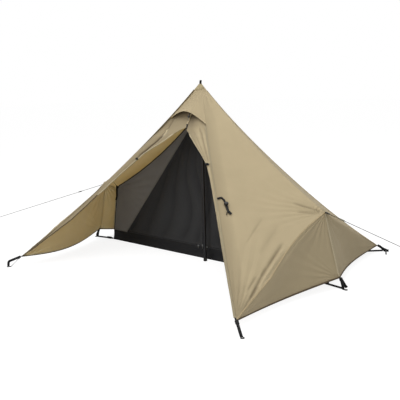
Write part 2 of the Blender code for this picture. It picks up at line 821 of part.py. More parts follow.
seam_direction = (seam_foot - peak).normalized()
seam_side = Vector((-1, 0, 0)) - seam_direction * Vector((-1, 0, 0)).dot(seam_direction)
seam_side.normalize()
leaf_top = peak + seam_direction * leaf_top_down
leaf_points = [leaf_top + seam_side * door_hinge_gap,
               seam_foot + seam_side * door_hinge_gap,
               inner_front(inner_gap, panel_base),
               inner_front(inner_gap, leaf_top.z)]
# The hinge side is trimmed so that it stays above the tub
leaf_points[1] = leaf_points[1] + (leaf_points[0] - leaf_points[1]) * (
    max(0, panel_base - leaf_points[1].z) / (leaf_points[0].z - leaf_points[1].z))
fixed_points = [inner_front(inner_gap, inner_peak_height), shoulder, rim_front, seam_foot, leaf_top,
                inner_front(inner_gap, leaf_top.z + door_hinge_gap)]
for flip, name in ((False, "right"), (True, "left")):
    leaf = plate("inner_door_" + name, leaf_points, inner_thickness, black_mesh, flip)
    hinge_point = mirrored(seam_foot) if flip else seam_foot
    leaf.data.transform(Matrix.Translation(-hinge_point))
    leaf.location = hinge_point
    plate("inner_front_" + name, fixed_points, inner_thickness, grey_mesh, flip)

inner_rows = 10
inner_columns = 8
back_gap = Vector((0, inner_thickness + inner_gap, 0))


def inner_side(t, v):
    """Roof and side of the inner tent: from its front edge over the shoulder, back to the rear corner."""
    top = peak + back_gap
    if v <= 0.5:
        edge = top.lerp(shoulder + back_gap, 2 * v)
    else:
        edge = (shoulder + back_gap).lerp(rim_front + back_gap, 2 * v - 1)
    far = top.lerp(rim_rear, min(1, 2 * v))
    point = edge.lerp(far, t)
    swell = math.sin(math.pi * min(1, 2 * v)) * math.sin(math.pi * t)
    return point + (inner_middle - point).normalized() * (inner_wall_sag * swell)


side_rows = []
for i in range(inner_columns * 2 + 1):
    v = inner_side_start_share + (1 - inner_side_start_share) * i / (inner_columns * 2)
    v = 0.5 if abs(v - 0.5) < inner_fold_share else v
    first = min(most_margin_share, inner_gap / (inner_side(0, v) - inner_side(1, v)).length)
    side_rows.append([inner_side(first + (1 - 2 * first) * j / inner_columns, v)
                      for j in range(inner_columns + 1)])
sheet_solid("inner_side_right", side_rows, inner_thickness, grey_mesh, inner_middle)
sheet_solid("inner_side_left", [[mirrored(p) for p in row] for row in side_rows], inner_thickness, grey_mesh,
            inner_middle)

rear_rows = []
for i in range(inner_rows + 1):
    t = inner_rear_start_share + (1 - inner_rear_start_share) * i / inner_rows
    right = (peak + back_gap).lerp(rim_rear, t)
    left = mirrored(right)
    first = min(most_margin_share, inner_gap / (right - left).length)
    rear_rows.append([right.lerp(left, first + (1 - 2 * first) * j / inner_columns)
                      for j in range(inner_columns + 1)])
sheet_solid("inner_rear", rear_rows, inner_thickness, black_mesh, inner_middle)

# Inner tent zip sliders, on the outer face
for name, x, z in (("centre", 0, panel_base + slider_length),
                   ("left", -side_slider_out, panel_base + slider_width),
                   ("right", side_slider_out, panel_base + slider_width)):
    place = inner_front(x, z) - behind * (slider_thickness / 2 + touch_gap)
    half_tall = slider_length / 2 if name == "centre" else slider_width / 2
    half_wide = slider_width / 2 if name == "centre" else slider_length / 2
    up = Vector((0, inner_slope, 1)).normalized()
    lower = place - up * half_tall
    upper = place + up * half_tall
    slider = bar("inner_slider_" + name, lower, upper, 2 * half_wide, slider_thickness, plastic, behind)
    slider.data.transform(Matrix.Translation(-place))
    slider.location = place

# Straps and cords that hold the inner tent in the canopy
outer_shoulder = inward(side_wall(1, shoulder_tie_share, 0.5), fabric_thickness + shoulder_tie_clearance)
for flip, name in ((False, "right"), (True, "left")):
    high = mirrored(outer_shoulder) if flip else outer_shoulder
    low = mirrored(shoulder) if flip else shoulder
    along = (low - high).normalized()
    bar("shoulder_tie_" + name, high + along * touch_gap, low - along * (2 * touch_gap), inner_strap_width,
        inner_strap_thickness, webbing)

roof_point = inward(rear_wall(peak_tie_share, 0.5), fabric_thickness + touch_gap * 2)
peak_low = peak + Vector((0, inner_thickness, 0))
along = (peak_low - roof_point).normalized()
bar("peak_tie", roof_point + along * touch_gap, peak_low - along * touch_gap, inner_strap_width,
    inner_strap_thickness, webbing)

for name, corner, peg_name in (("front_left", tub_front_left, "side_left"),
                               ("front_right", tub_front_right, "side_right"),
                               ("rear_left", tub_rear_left, "rear_left"),
                               ("rear_right", tub_rear_right, "rear_right")):
    # The cord stops where its end meets the underside of the strap that comes down to the same peg
    rise = Vector((0, 0, corner_cord_radius))
    canopy_corner, landing = strap_landings[peg_name]
    run = Vector((landing.x - canopy_corner.x, landing.y - canopy_corner.y, 0))
    back = 2 * corner_cord_radius * run.length / (canopy_corner.z - landing.z) + 2 * touch_gap
    end = Vector((landing.x, landing.y, 0)) - run.normalized() * back
    level = (end - corner).normalized()
    rod("corner_cord_" + name, corner + rise + level * touch_gap, end + rise, corner_cord_radius, elastic, 10)

# Small fittings on the doors
def reach(points, base, direction):
    """How far the points stand out from a base point."""
    return max((p - base).dot(direction) for p in points)


probe_steps = 8


def door_points(low_share, high_share, side):
    points = []
    for k in range(probe_steps + 1):
        points += door_ring(low_share + (high_share - low_share) * k / probe_steps, door_edges[side], side)
    return points


pull_start = front_wall(zip_pull_share, 0.5)
down = (front_wall(zip_pull_share + zip_run_share, 0.5) - pull_start).normalized()
beside_zip = (door_points(zip_pull_share, zip_pull_share + beside_zip_share, -1)
              + door_points(zip_pull_share, zip_pull_share + beside_zip_share, 1))
near_pull = [p for p in beside_zip if abs(p.x) < 1.1 * zip_pull_width]
stand_off = reach(near_pull, pull_start, front_normal) + zip_pull_thickness / 2 + touch_gap
pull_hinge = pull_start + front_normal * stand_off
pull_end = pull_hinge + down * zip_pull_length
zip_pull = bar("zip_pull", pull_hinge, pull_end, zip_pull_width, zip_pull_thickness, webbing, front_normal)
zip_pull.data.transform(Matrix.Translation(-pull_hinge))
zip_pull.location = pull_hinge

strut_base = front_wall(strut_door_share, 0.5)
beside_strut = door_points(strut_door_share - strut_span_share, strut_door_share + strut_span_share, -1)
strut_points = [p for p in beside_strut if abs(p.x) < 2 * strut_radius]
strut_stand = reach(strut_points, strut_base, front_normal) + strut_radius / 3 + touch_gap
strut_low = strut_base + front_normal * strut_stand
strut_high = hood(strut_hood_share, 0.5) - front_normal * (fabric_thickness + strut_radius)
rod("vent_strut", strut_low, strut_high, strut_radius, plastic)

for name, side, share in (("left", -1, left_tie_share), ("right", 1, right_tie_share)):
    ring = door_ring(share, door_edges[side], side)
    inner_edge = ring[door_sides // 2]
    away = inner_edge - ring[0]
    away = (away - front_normal * away.dot(front_normal)).normalized()
    start = inner_edge - away * (tie_length * tie_overlap_share)
    spans = [p for p in door_points(share - tie_span_share, share + tie_span_share, side)
             if -tie_radius < (start - p).dot(away) < tie_length + tie_radius]
    lift = front_normal * (reach(spans, start, front_normal) + tie_radius - tie_seat)
    rod("door_tie_" + name, start + lift, start - away * tie_length + lift, tie_radius, plastic)

toggle_place = side_wall(1, toggle_strap_share, toggle_side_share)
wall_across = (side_wall(1, toggle_strap_share, 2 * toggle_slope_share)
               - side_wall(1, toggle_strap_share, 0)).normalized()
wall_down = (side_wall(1, toggle_strap_share + toggle_slope_share, toggle_side_share)
             - side_wall(1, toggle_strap_share - toggle_slope_share, toggle_side_share)).normalized()
wall_square = wall_across.cross(wall_down).normalized()
if wall_square.z < 0:
    wall_square = -wall_square
toggle_run = (wall_down + wall_across * toggle_slant_share).normalized()
under = []
for i in range(probe_steps + 1):
    for j in range(probe_steps + 1):
        along_share = toggle_strap_share - toggle_back_share + toggle_run_share * i / probe_steps
        under.append(side_wall(1, along_share, toggle_side_share / 2 + toggle_spread_share * j / probe_steps))
near_toggle = [p for p in under if (p - toggle_place).cross(toggle_run).length < 3 * toggle_width
               and -toggle_width < (p - toggle_place).dot(toggle_run) < toggle_length + toggle_width]
stand_off = reach(near_toggle, toggle_place, wall_square) + toggle_thickness / 2 + touch_gap
toggle_start = toggle_place + wall_square * stand_off
bar("door_toggle", toggle_start, toggle_start + toggle_run * toggle_length, toggle_width, toggle_thickness,
    webbing, wall_square)
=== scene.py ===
# %% [markdown]
# # A one pole pyramid tent
#
# The tent's solids come from its construction model. They are exact, but plain. This lesson dresses them:
# canvas that sags and creases, doors that are gathered and tied, seams with their stitches, webbing with
# its ladder locks, a pole in four sections, and an inner tent of mesh over a coated tub.
#
# Everything is in metres. +X is to the right for someone who faces the door, +Y runs to the rear, +Z is up.

import math

import bmesh
import bpy
import numpy as np
from mathutils import Matrix, Vector


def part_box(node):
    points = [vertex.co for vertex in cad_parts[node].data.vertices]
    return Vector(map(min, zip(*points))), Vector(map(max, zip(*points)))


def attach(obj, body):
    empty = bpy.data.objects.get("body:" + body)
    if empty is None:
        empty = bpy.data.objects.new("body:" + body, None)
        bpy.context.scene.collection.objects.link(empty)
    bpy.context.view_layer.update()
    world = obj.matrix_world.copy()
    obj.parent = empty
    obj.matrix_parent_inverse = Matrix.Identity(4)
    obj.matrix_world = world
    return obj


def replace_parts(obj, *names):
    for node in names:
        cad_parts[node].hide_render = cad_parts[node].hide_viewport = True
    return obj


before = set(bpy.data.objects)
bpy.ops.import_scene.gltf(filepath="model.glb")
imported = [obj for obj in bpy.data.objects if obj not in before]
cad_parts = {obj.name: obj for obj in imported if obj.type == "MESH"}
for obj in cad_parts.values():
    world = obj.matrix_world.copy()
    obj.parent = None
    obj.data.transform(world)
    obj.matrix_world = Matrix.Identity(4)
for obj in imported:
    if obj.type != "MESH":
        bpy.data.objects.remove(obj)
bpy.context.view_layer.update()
MM = 0.001

# %% [markdown]
# ## The pitch
#
# A pitched tent is a handful of points that are pulled apart: the apex on its pole, six corners and two side
# pull outs. Everything else hangs between them. These are the real sizes that the solids were made with, so
# each cloth lies where its solid is.

# %% The points that hold the canopy
side_names = {-1: "left", 1: "right"}


def at(x, y, z):
    """A place as an array, in metres."""
    return np.array((x, y, z), float)


def both_sides(x, y, z):
    """A place on the right and its mirror image on the left, from millimetres."""
    return {side: at(side * x, y, z) * MM for side in side_names}


apex, tent_middle = at(0, 58, 1500) * MM, at(0, 58, 277.5) * MM
front_corner = {-1: at(-1128, -1022, 87) * MM, 1: at(1115, -1026, 61) * MM}
side_corner, rear_corner = both_sides(1302, 0, 87), both_sides(1149, 1048, 57)
pull_out = both_sides(1176, 0, 555)
front_sag, rear_sag, crease_sag = {-1: 70 * MM, 1: 50 * MM}, 105 * MM, 55 * MM
skew_share, fullness_share = 0.88, 2.2
billow = 14 * MM
hem_tuck, hem_dip = 65 * MM, {-1: 46 * MM, 1: 26 * MM}
rear_hem_rise_share = 0.035
wall_top_share = 0.024
canvas_thickness = 1.0 * MM

# %% [markdown]
# ## Edges and walls as formulas
#
# An edge from the apex to a corner sags a little more near the top than a parabola does, so it has a skew.
# A wall is read off between two such edges. Neighbours share their edges, so the canopy has no gaps. Each
# function takes whole grids of shares at once, which keeps Python fast.

# %% Edges and walls


def to_share(value):
    return np.clip(value, 0, 1)


def blend_points(a, b, share):
    """Points a share of the way from a to b."""
    return a + (b - a) * np.asarray(share)[..., None]


def unit(vectors):
    return vectors / np.linalg.norm(vectors, axis=-1, keepdims=True)


def edge(corner, sag, s):
    """Points a share s down the sagging edge from the apex to a corner."""
    s = np.asarray(s, float)
    points = blend_points(apex, corner, s)
    points[..., 2] -= sag * (1 - np.abs(2 * s ** skew_share - 1) ** fullness_share)
    return points


def front_edge(side, s):
    return edge(front_corner[side], front_sag[side], s)


def pull_edge(side, s):
    return edge(pull_out[side], crease_sag, s)


def rear_edge(side, s):
    return edge(rear_corner[side], rear_sag, s)


def towards_middle(points, distance):
    return points + unit(tent_middle - points) * np.asarray(distance)[..., None]


def side_wall(side, s, v):
    """A side's upper wall, from its front edge over the soft crease of the pull out to its rear edge."""
    near, crest, far = front_edge(side, s), pull_edge(side, s), rear_edge(side, s)
    first, second = to_share(2 * v)[..., None], to_share(2 * v - 1)[..., None]
    points = near + (crest - near) * first + (far - crest) * second
    return towards_middle(points, billow * np.sin(np.pi * s) * np.abs(np.sin(2 * np.pi * v)))


def rear_wall(s, v):
    points = blend_points(rear_edge(1, s), rear_edge(-1, s), v)
    return towards_middle(points, billow * np.sin(np.pi * s) * np.sin(np.pi * v))


def front_wall(s, v):
    return blend_points(front_edge(-1, s), front_edge(1, s), v)


def lower_panels(side):
    """The two lower panels of a side, each with its front and its rear pegged corner."""
    return (("front", front_corner[side], side_corner[side]), ("rear", side_corner[side], rear_corner[side]))


def side_hem(side, near_corner, far_corner, v):
    """The hem between two pegged corners, tucked in and dipping in its middle."""
    points = blend_points(near_corner, far_corner, v)
    swell = np.sin(np.pi * v)
    points[..., 0] -= side * hem_tuck * swell
    points[..., 2] -= hem_dip[side] * swell
    return points


def lower_wall(side, near_corner, far_corner, u, v):
    """A lower panel, a share u of the way down from the pull out to the hem."""
    return blend_points(pull_out[side], side_hem(side, near_corner, far_corner, v), u)


front_square = unit(np.cross(front_corner[1] - apex, front_corner[-1] - apex))
front_square = front_square * (-1 if front_square[1] > 0 else 1)
hood_left_share, hood_right_share, hood_crown_share = 0.168, 0.198, 0.148
hood_lift, hood_lean = 42 * MM, 0.85


def hood_end(v):
    """How far down the hood's free edge lies at a share v across, and how high it arches there."""
    arch = np.sin(np.pi * v ** hood_lean)
    side_end = hood_left_share + (hood_right_share - hood_left_share) * v
    return side_end + (hood_crown_share - side_end) * arch ** 0.8, arch


def hood(t, v):
    """The front top, from the apex (t 0) to the free edge of its vent hood (t 1)."""
    end, arch = hood_end(v)
    s = wall_top_share + (end - wall_top_share) * t
    return front_wall(s, v) + front_square * (hood_lift * arch ** 1.5 * t ** 4)[..., None]


print("front wall faces", np.round(front_square, 3))

# %% [markdown]
# ## Finishes
#
# Every finish is a small node tree on the Principled shader. Cloth reads its own UV map, which is laid out in
# metres, so a thread is as wide on a small patch as on a large wall. Hard parts read Object coordinates.

# %% Helpers for finishes
finishes, usual_slot = {}, {}


def with_settings(thing, **settings):
    """Set several of a thing's attributes, and give it back."""
    for name, value in settings.items():
        setattr(thing, name, value)
    return thing


def add_node(tree, kind, values=None, **settings):
    """A new node. A value that is another node's socket is linked to the input, and any other is set."""
    made = with_settings(tree.nodes.new(kind), **settings)
    for name, value in (values or {}).items():
        if isinstance(value, bpy.types.NodeSocket):
            tree.links.new(value, made.inputs[name])
        else:
            made.inputs[name].default_value = value
    return made


def new_finish(name, slot, colour, roughness, metallic=0.0):
    """A material with the slot that it mostly goes into. Gives its tree and its shader."""
    made = finishes[name] = bpy.data.materials.new(name)
    usual_slot[name] = slot
    made.use_nodes = True
    shader = made.node_tree.nodes["Principled BSDF"]
    for socket, value in (("Base Color", (*colour, 1)), ("Roughness", roughness), ("Metallic", metallic)):
        shader.inputs[socket].default_value = value
    return made.node_tree, shader


def srgb(red, green, blue):
    """A colour as read off a screen, 0 to 255, made linear."""
    return tuple(((c / 255 + 0.055) / 1.055) ** 2.4 if c > 10 else c / 3294.6 for c in (red, green, blue))


def noise(tree, coordinates, scale, detail=2.0, **values):
    return add_node(tree, "ShaderNodeTexNoise",
                    {"Vector": coordinates, "Scale": scale, "Detail": detail, **values}).outputs["Fac"]


def mottled(tree, coordinates, colour, size, contrast):
    """Colour that wanders slowly about its mean, as dye, dust and handling make it, and the noise behind it."""
    wander = noise(tree, coordinates, 1 / size, 4.0, Roughness=0.55)
    ramp = add_node(tree, "ShaderNodeValToRGB", {"Fac": wander})
    for element, place, change in zip(ramp.color_ramp.elements, (0.3, 0.7), (-contrast, contrast)):
        element.position = place
        element.color = (*[min(1, c * (1 + change)) for c in colour], 1)
    return ramp.outputs["Color"], wander


def bumped(tree, shader, *layers):
    """Stack bumps. Each layer is a height socket, a strength and a depth in metres."""
    below = {}
    for height, strength, depth in layers:
        bump = add_node(tree, "ShaderNodeBump", {"Strength": strength, "Distance": depth, "Height": height, **below})
        below = {"Normal": bump.outputs["Normal"]}
    tree.links.new(below["Normal"], shader.inputs["Normal"])


def threads(tree, coordinates, pitch):
    """Warp and weft: two sets of ridges that cross, as one height."""
    ridges = {"Vector": coordinates, "Scale": 2 * math.pi / 20 / pitch, "Distortion": 0.6, "Detail": 1.0}
    warp, weft = (add_node(tree, "ShaderNodeTexWave", ridges, wave_type="BANDS", bands_direction=direction)
                  for direction in "XY")
    both = add_node(tree, "ShaderNodeMath", {0: warp.outputs["Fac"], 1: weft.outputs["Fac"]}, operation="MULTIPLY")
    return both.outputs["Value"]


def woven(name, slot, colour, roughness, pitch, depth, blotch=0.05, sheen=0.0, rumple=0.35, painted_shade_colour=None):
    """A woven cloth: crossing threads, thick and thin yarns, faint rumples and slow colour change."""
    colour = srgb(*colour)
    tree, shader = new_finish(name, slot, colour, roughness)
    uv = add_node(tree, "ShaderNodeTexCoord").outputs["UV"]
    shown, _ = mottled(tree, uv, colour, 0.22, blotch)
    if painted_shade_colour:
        # The fold attribute mixes in a darker colour: painted shade in creases, grooves and shaded places
        fold = add_node(tree, "ShaderNodeAttribute", attribute_name="fold").outputs["Fac"]
        shown = add_node(tree, "ShaderNodeMix", {"Factor": fold, "A": shown, "B": (*srgb(*painted_shade_colour), 1)},
                         data_type="RGBA").outputs["Result"]
    tree.links.new(shown, shader.inputs["Base Color"])
    slub = add_node(tree, "ShaderNodeMapping", {"Vector": uv, "Scale": (1, 14, 1)})
    bumped(tree, shader, (noise(tree, uv, 26.0, 3.0, Roughness=0.6), 0.5, rumple * MM),
           (noise(tree, slub.outputs["Vector"], 90.0), 0.25, 0.15 * MM),
           (threads(tree, uv, pitch * MM), 0.5, depth * MM))
    shader.inputs["Sheen Weight"].default_value = sheen
    shader.inputs["Specular IOR Level"].default_value = 0.3


# %% [markdown]
# The canvas is a dense polycotton. Inside, it renders a little darker and warmer, and its colour there is painted
# lighter than outside: painted light, for the light that comes through it.
# The hem tape, the webbing and the two meshes are weaves of other pitches.

# %% Cloth finishes
# Each cloth: its name, its slot, its colour on a screen, its roughness, and the pitch and depth of its threads
# in millimetres. What follows is where it differs from a plain weave.
# The canvas and the black mesh carry a second, darker colour: painted shade for their folds and shaded places
for weave, extras in (
        (("canvas", "canvas", (184, 168, 135), 0.88, 0.9, 0.12),
         {"blotch": 0.035, "sheen": 0.08, "painted_shade_colour": (56, 42, 26)}),
        # The inside's lighter colour is painted light, for light that comes through the canvas
        (("canvas_inside", "canvas", (208, 184, 146), 0.9, 0.9, 0.12), {}),
        (("seam_canvas", "canvas", (182, 164, 129), 0.88, 0.9, 0.12), {}),
        (("cone_canvas", "canvas", (168, 154, 120), 0.88, 0.9, 0.12), {"blotch": 0.1}),
        # This darker canvas is painted shade on the front ridge seams, and the worn inner face of a door's rolled hem
        (("shade_and_wear_canvas", "canvas", (163, 151, 124), 0.85, 0.6, 0.05), {"sheen": 0.05}),
        (("rim_canvas", "canvas", (200, 187, 156), 0.88, 0.9, 0.12), {}),
        (("hem_tape", "canvas", (96, 82, 62), 0.85, 1.2, 0.2), {}),
        (("thread", "canvas", (150, 134, 102), 0.8, 0.3, 0.05), {}),
        (("webbing", "webbing", (15, 15, 16), 0.75, 2.2, 0.35), {"blotch": 0.1, "sheen": 0.03}),
        (("tub_cloth", "groundsheet", (30, 30, 32), 0.42, 0.6, 0.06), {"blotch": 0.08, "rumple": 0.9}),
        (("grey_mesh", "grey_mesh", (150, 147, 142), 0.85, 1.4, 0.35), {"blotch": 0.06, "sheen": 0.1}),
        (("piping", "grey_mesh", (140, 138, 130), 0.7, 0.9, 0.15), {}),
        (("black_mesh", "black_mesh", (56, 56, 57), 0.82, 1.4, 0.35),
         {"blotch": 0.06, "sheen": 0.1, "painted_shade_colour": (26, 26, 27)}),
        (("mesh_tape", "black_mesh", (34, 34, 35), 0.7, 0.9, 0.15), {}),
        (("guy_braid", "guy_cord", (34, 34, 34), 0.7, 1.6, 0.3), {}),
        (("elastic_braid", "elastic", (22, 22, 23), 0.7, 1.4, 0.3), {})):
    woven(*weave, **extras)
# Light comes through one layer of canvas, so its inside scatters light from beneath its surface
inside_shader = finishes["canvas_inside"].node_tree.nodes["Principled BSDF"]
for socket, value in (("Weight", 1.0), ("Radius", (1.0, 0.88, 0.7)), ("Scale", 6.0 * MM)):
    inside_shader.inputs["Subsurface " + socket].default_value = value

# %% [markdown]
# Moulded plastic has a fine spark eroded grain. The pole is dark anodised tube with lines drawn along it.
# Both read Object coordinates, because their meshes are the solids' own and carry no UV map.

# %% Hard finishes


def moulded(name, slot, colour, roughness, grain=0.8, depth=0.05):
    tree, shader = new_finish(name, slot, srgb(*colour), roughness)
    place = add_node(tree, "ShaderNodeTexCoord").outputs["Object"]
    shown, wander = mottled(tree, place, srgb(*colour), 0.03, 0.15)
    tree.links.new(shown, shader.inputs["Base Color"])
    bumped(tree, shader, (wander, 0.2, depth * MM), (noise(tree, place, 1 / (grain * MM)), 0.4, depth * MM))


def drawn_tube(name, slot, colour, lean):
    """Anodised tube: fine lines along its axis in colour and in roughness."""
    tree, shader = new_finish(name, slot, srgb(*colour), 0.32, 0.85)
    place = add_node(tree, "ShaderNodeTexCoord").outputs["Object"]
    drawn = add_node(tree, "ShaderNodeMapping", {"Vector": place, "Rotation": lean, "Scale": (1, 1, 0.01)})
    lines = noise(tree, drawn.outputs["Vector"], 900.0)
    rough = add_node(tree, "ShaderNodeMapRange", {"Value": lines, "To Min": 0.24, "To Max": 0.42})
    tree.links.new(rough.outputs["Result"], shader.inputs["Roughness"])
    tree.links.new(mottled(tree, place, srgb(*colour), 0.2, 0.1)[0], shader.inputs["Base Color"])
    bumped(tree, shader, (lines, 0.15, 0.03 * MM))


moulded("black_plastic", "plastic", (24, 24, 25), 0.42)
moulded("black_rubber", "rubber", (28, 28, 28), 0.75, 1.5, 0.1)
moulded("zip_metal", "black_mesh", (52, 52, 54), 0.35)
moulded("olive_plastic", "plastic", (126, 122, 102), 0.5)
moulded("chain_metal", "plastic", (120, 122, 122), 0.3)
drawn_tube("pole_finish", "pole_metal", (58, 58, 60), (math.atan2(78, 1500), 0.047, 0))
print("finishes:", len(finishes))

# %% [markdown]
# ## Building cloth
#
# A cloth starts as a grid of points. Its folds are heights along the surface's own normal, so one set of fold
# formulas serves every wall. Solidify gives it a back in the inside colour, and its UV map is the grid laid
# flat on two axes, in metres.

# %% Cloth builder


def rows_and_columns(rows, columns, crowd=1.0):
    """Two grids of shares from 0 to 1."""
    down, across = np.linspace(0, 1, rows + 1) ** crowd, np.linspace(0, 1, columns + 1)
    return np.meshgrid(down, across, indexing="ij")


def surface_normals(points):
    """A grid's normals, on the side that faces away from the tent's middle."""
    normals = np.cross(np.gradient(points, axis=0), np.gradient(points, axis=1))
    normals = normals / np.maximum(np.linalg.norm(normals, axis=-1, keepdims=True), 1e-12)
    middle = points.shape[0] // 2, points.shape[1] // 2
    return normals if normals[middle] @ (points[middle] - tent_middle) > 0 else -normals


def flat_map(points):
    """Lay a grid flat on the two axes along which it is widest, in metres."""
    flat = points.reshape(-1, 3)
    centred = flat - flat.mean(0)
    axes = np.linalg.svd(centred[:: max(1, len(flat) // 2000)], full_matrices=False)[2]
    return centred @ axes[0], centred @ axes[1]


def lay_flat(mesh, u, v):
    """Give a mesh its UV map, from a place in metres for each of its points."""
    corners = np.zeros(len(mesh.loops), np.int32)
    mesh.loops.foreach_get("vertex_index", corners)
    flat = np.stack((u[corners], v[corners]), -1).astype(np.float32)
    mesh.uv_layers.new(name="flat").data.foreach_set("uv", flat.ravel())


def add_object(name, data):
    made = bpy.data.objects.new(name, data)
    bpy.context.scene.collection.objects.link(made)
    return made


def new_piece(name, data, body):
    made = add_object(name, data)
    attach(made, body)
    return made


def finish_piece(name, mesh, body, *looks, slot=None):
    """A smooth piece with its finishes. The slot argument is not used."""
    for look in looks:
        mesh.materials.append(finishes[look])
    mesh.shade_smooth()
    return new_piece(name, mesh, body)


def grid_faces(points, outward):
    rows, columns = points.shape[:2]
    index = np.arange(rows * columns).reshape(rows, columns)
    quads = np.stack((index[:-1, :-1], index[1:, :-1], index[1:, 1:], index[:-1, 1:]), -1).reshape(-1, 4)
    i, j = rows // 2, columns // 2
    across = points[i, min(j + 1, columns - 1)] - points[i, j - 1]
    down = points[min(i + 1, rows - 1), j] - points[i - 1, j]
    return quads[:, ::-1] if np.cross(down, across) @ outward < 0 else quads


def cloth(name, points, solid, looks=("canvas", "canvas_inside"), body="tent", thickness=canvas_thickness,
          outward=None, folds=None, held="stretched", rests=None):
    """A cloth from a grid of points, with a back and a UV map in metres."""
    if outward is None:
        outward = points[points.shape[0] // 2, points.shape[1] // 2] - tent_middle
    mesh = bpy.data.meshes.new(name)
    mesh.from_pydata(points.reshape(-1, 3).tolist(), [], grid_faces(points, outward).tolist())
    lay_flat(mesh, *flat_map(points))
    # The fold attribute is painted shade: it mixes the finish's darker colour into the cloth
    if folds is not None:
        mesh.attributes.new("fold", "FLOAT", "POINT").data.foreach_set("value", folds.astype(np.float32).ravel())
    made = finish_piece(name, mesh, body, *looks)
    with_settings(made.modifiers.new("back", "SOLIDIFY"), thickness=thickness, offset=-1, material_offset=1)
    if solid:
        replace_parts(made, solid)
    return made


# %% [markdown]
# Wrinkles come in three sorts. Slow waves are the looseness of the cloth. Fans spread from a point that is
# pulled. Creases are single sharp lines that were folded in when the tent was packed. Each gives a height in
# metres, and they add up.

# %% Wrinkle formulas


def slow_waves(points, size, seed):
    """Smooth noise between about -1 and 1, from a few plane waves about as long as size."""
    chosen = np.random.default_rng(seed)
    total = np.zeros(points.shape[:-1])
    for _ in range(10):
        direction = unit(chosen.normal(size=3))
        length = size * chosen.uniform(0.7, 1.5)
        total += np.sin(points @ direction * (2 * np.pi / length) + chosen.uniform(0, 2 * np.pi))
    return total / 4


def fan(points, corner, towards, normal, spread, folds, reach, height, seed):
    """Folds that spread from a pulled point, strongest a little way out from it."""
    ahead = unit(towards - corner)
    offset = points - corner
    along, across = offset @ ahead, offset @ np.cross(normal, ahead)
    radius = np.sqrt(along ** 2 + across ** 2) + 1e-9
    angle = np.arctan2(across, along) / spread
    wander = 0.25 * slow_waves(points, 0.35, seed + 1)
    start = np.random.default_rng(seed).uniform(0, 2 * np.pi)
    wave = np.cos(np.pi * folds * (angle + wander * 0.15) + start)
    sharp = np.sign(wave) * np.abs(wave) ** 1.5
    window = to_share(1 - angle ** 2) * np.exp(-radius / reach) * to_share(radius / (0.12 * reach))
    return height * sharp * window * (along > 0)


def add_fans(height, points, normal, *fans):
    """Add fans to a height. Each: its pulled point, where it aims, its spread, folds, reach, height and seed."""
    for values in fans:
        height += fan(points, values[0], values[1], normal, *values[2:])
    return height


def line_share(points, start, end):
    """How far along a line each point lies, as a share, and how far away from the line."""
    run = end - start
    share = to_share((points - start) @ run / (run @ run))
    return share, np.linalg.norm(points - (start + share[..., None] * run), axis=-1)


def crease(points, start, end, width, height, sharpness=1.4):
    """One fold line from start to end, sharp in the middle and fading at both ends."""
    share, away = line_share(points, start, end)
    return height * np.exp(-(away / width) ** sharpness) * np.sin(np.pi * share) ** 0.6


def from_edges(s, v, width=0.04):
    """A factor that falls to 0 at the grid's edges, so that neighbours still meet in their seams."""
    near = np.minimum(np.minimum(s, 1 - s), np.minimum(v, 1 - v))
    return to_share(near / width) ** 0.8


def folded(points, height):
    return points + surface_normals(points) * height[..., None]


def turned_over(share):
    """How far above its front seam the right wall already turns over, at a share of the way to the corner."""
    return 40 * MM * np.sin(np.pi * to_share(share / 0.65))


def rounded_seam(side, points, below=False):
    """The seams that meet at a pull out are soft folds: the cloth turns over them, more widely near a corner."""
    total = np.zeros(points.shape[:-1])
    pull = pull_out[side]
    for end, corner in (("front", front_corner[side]), ("side", side_corner[side]), ("rear", rear_corner[side])):
        share, away = line_share(points, pull, corner)
        width = 16 * MM + 44 * MM * share
        if side < 0 and end == "side":
            width = width * 2.4
        soft = 0.14 * width * to_share(1 - away / width) ** 2 * to_share(np.minimum(share, 1 - share) / 0.07)
        if side > 0 and end == "front":
            turn = turned_over(share)
            fade = 0.6 * (1 - share) * np.linalg.norm(corner - pull) if below else turn
            soft = soft + 0.62 * turn * to_share(1 - away / (fade + 1e-6))
        total = np.maximum(total, soft)
    return towards_middle(points, total)


# %% [markdown]
# ## The walls
#
# The right wall shows most. Folds radiate from its pull out, two long creases run beside the seam to the
# front corner, and fine ones rise from that corner. The other walls get their own, from other seeds.

# %% Upper walls
wall_grid = {-1: 110, 1: 205}
# The last is the crease depth by which a crease's painted shade is scaled
slack_bulge, slack_reach, crease_full_shade = 15 * MM, 85 * MM, 22 * MM
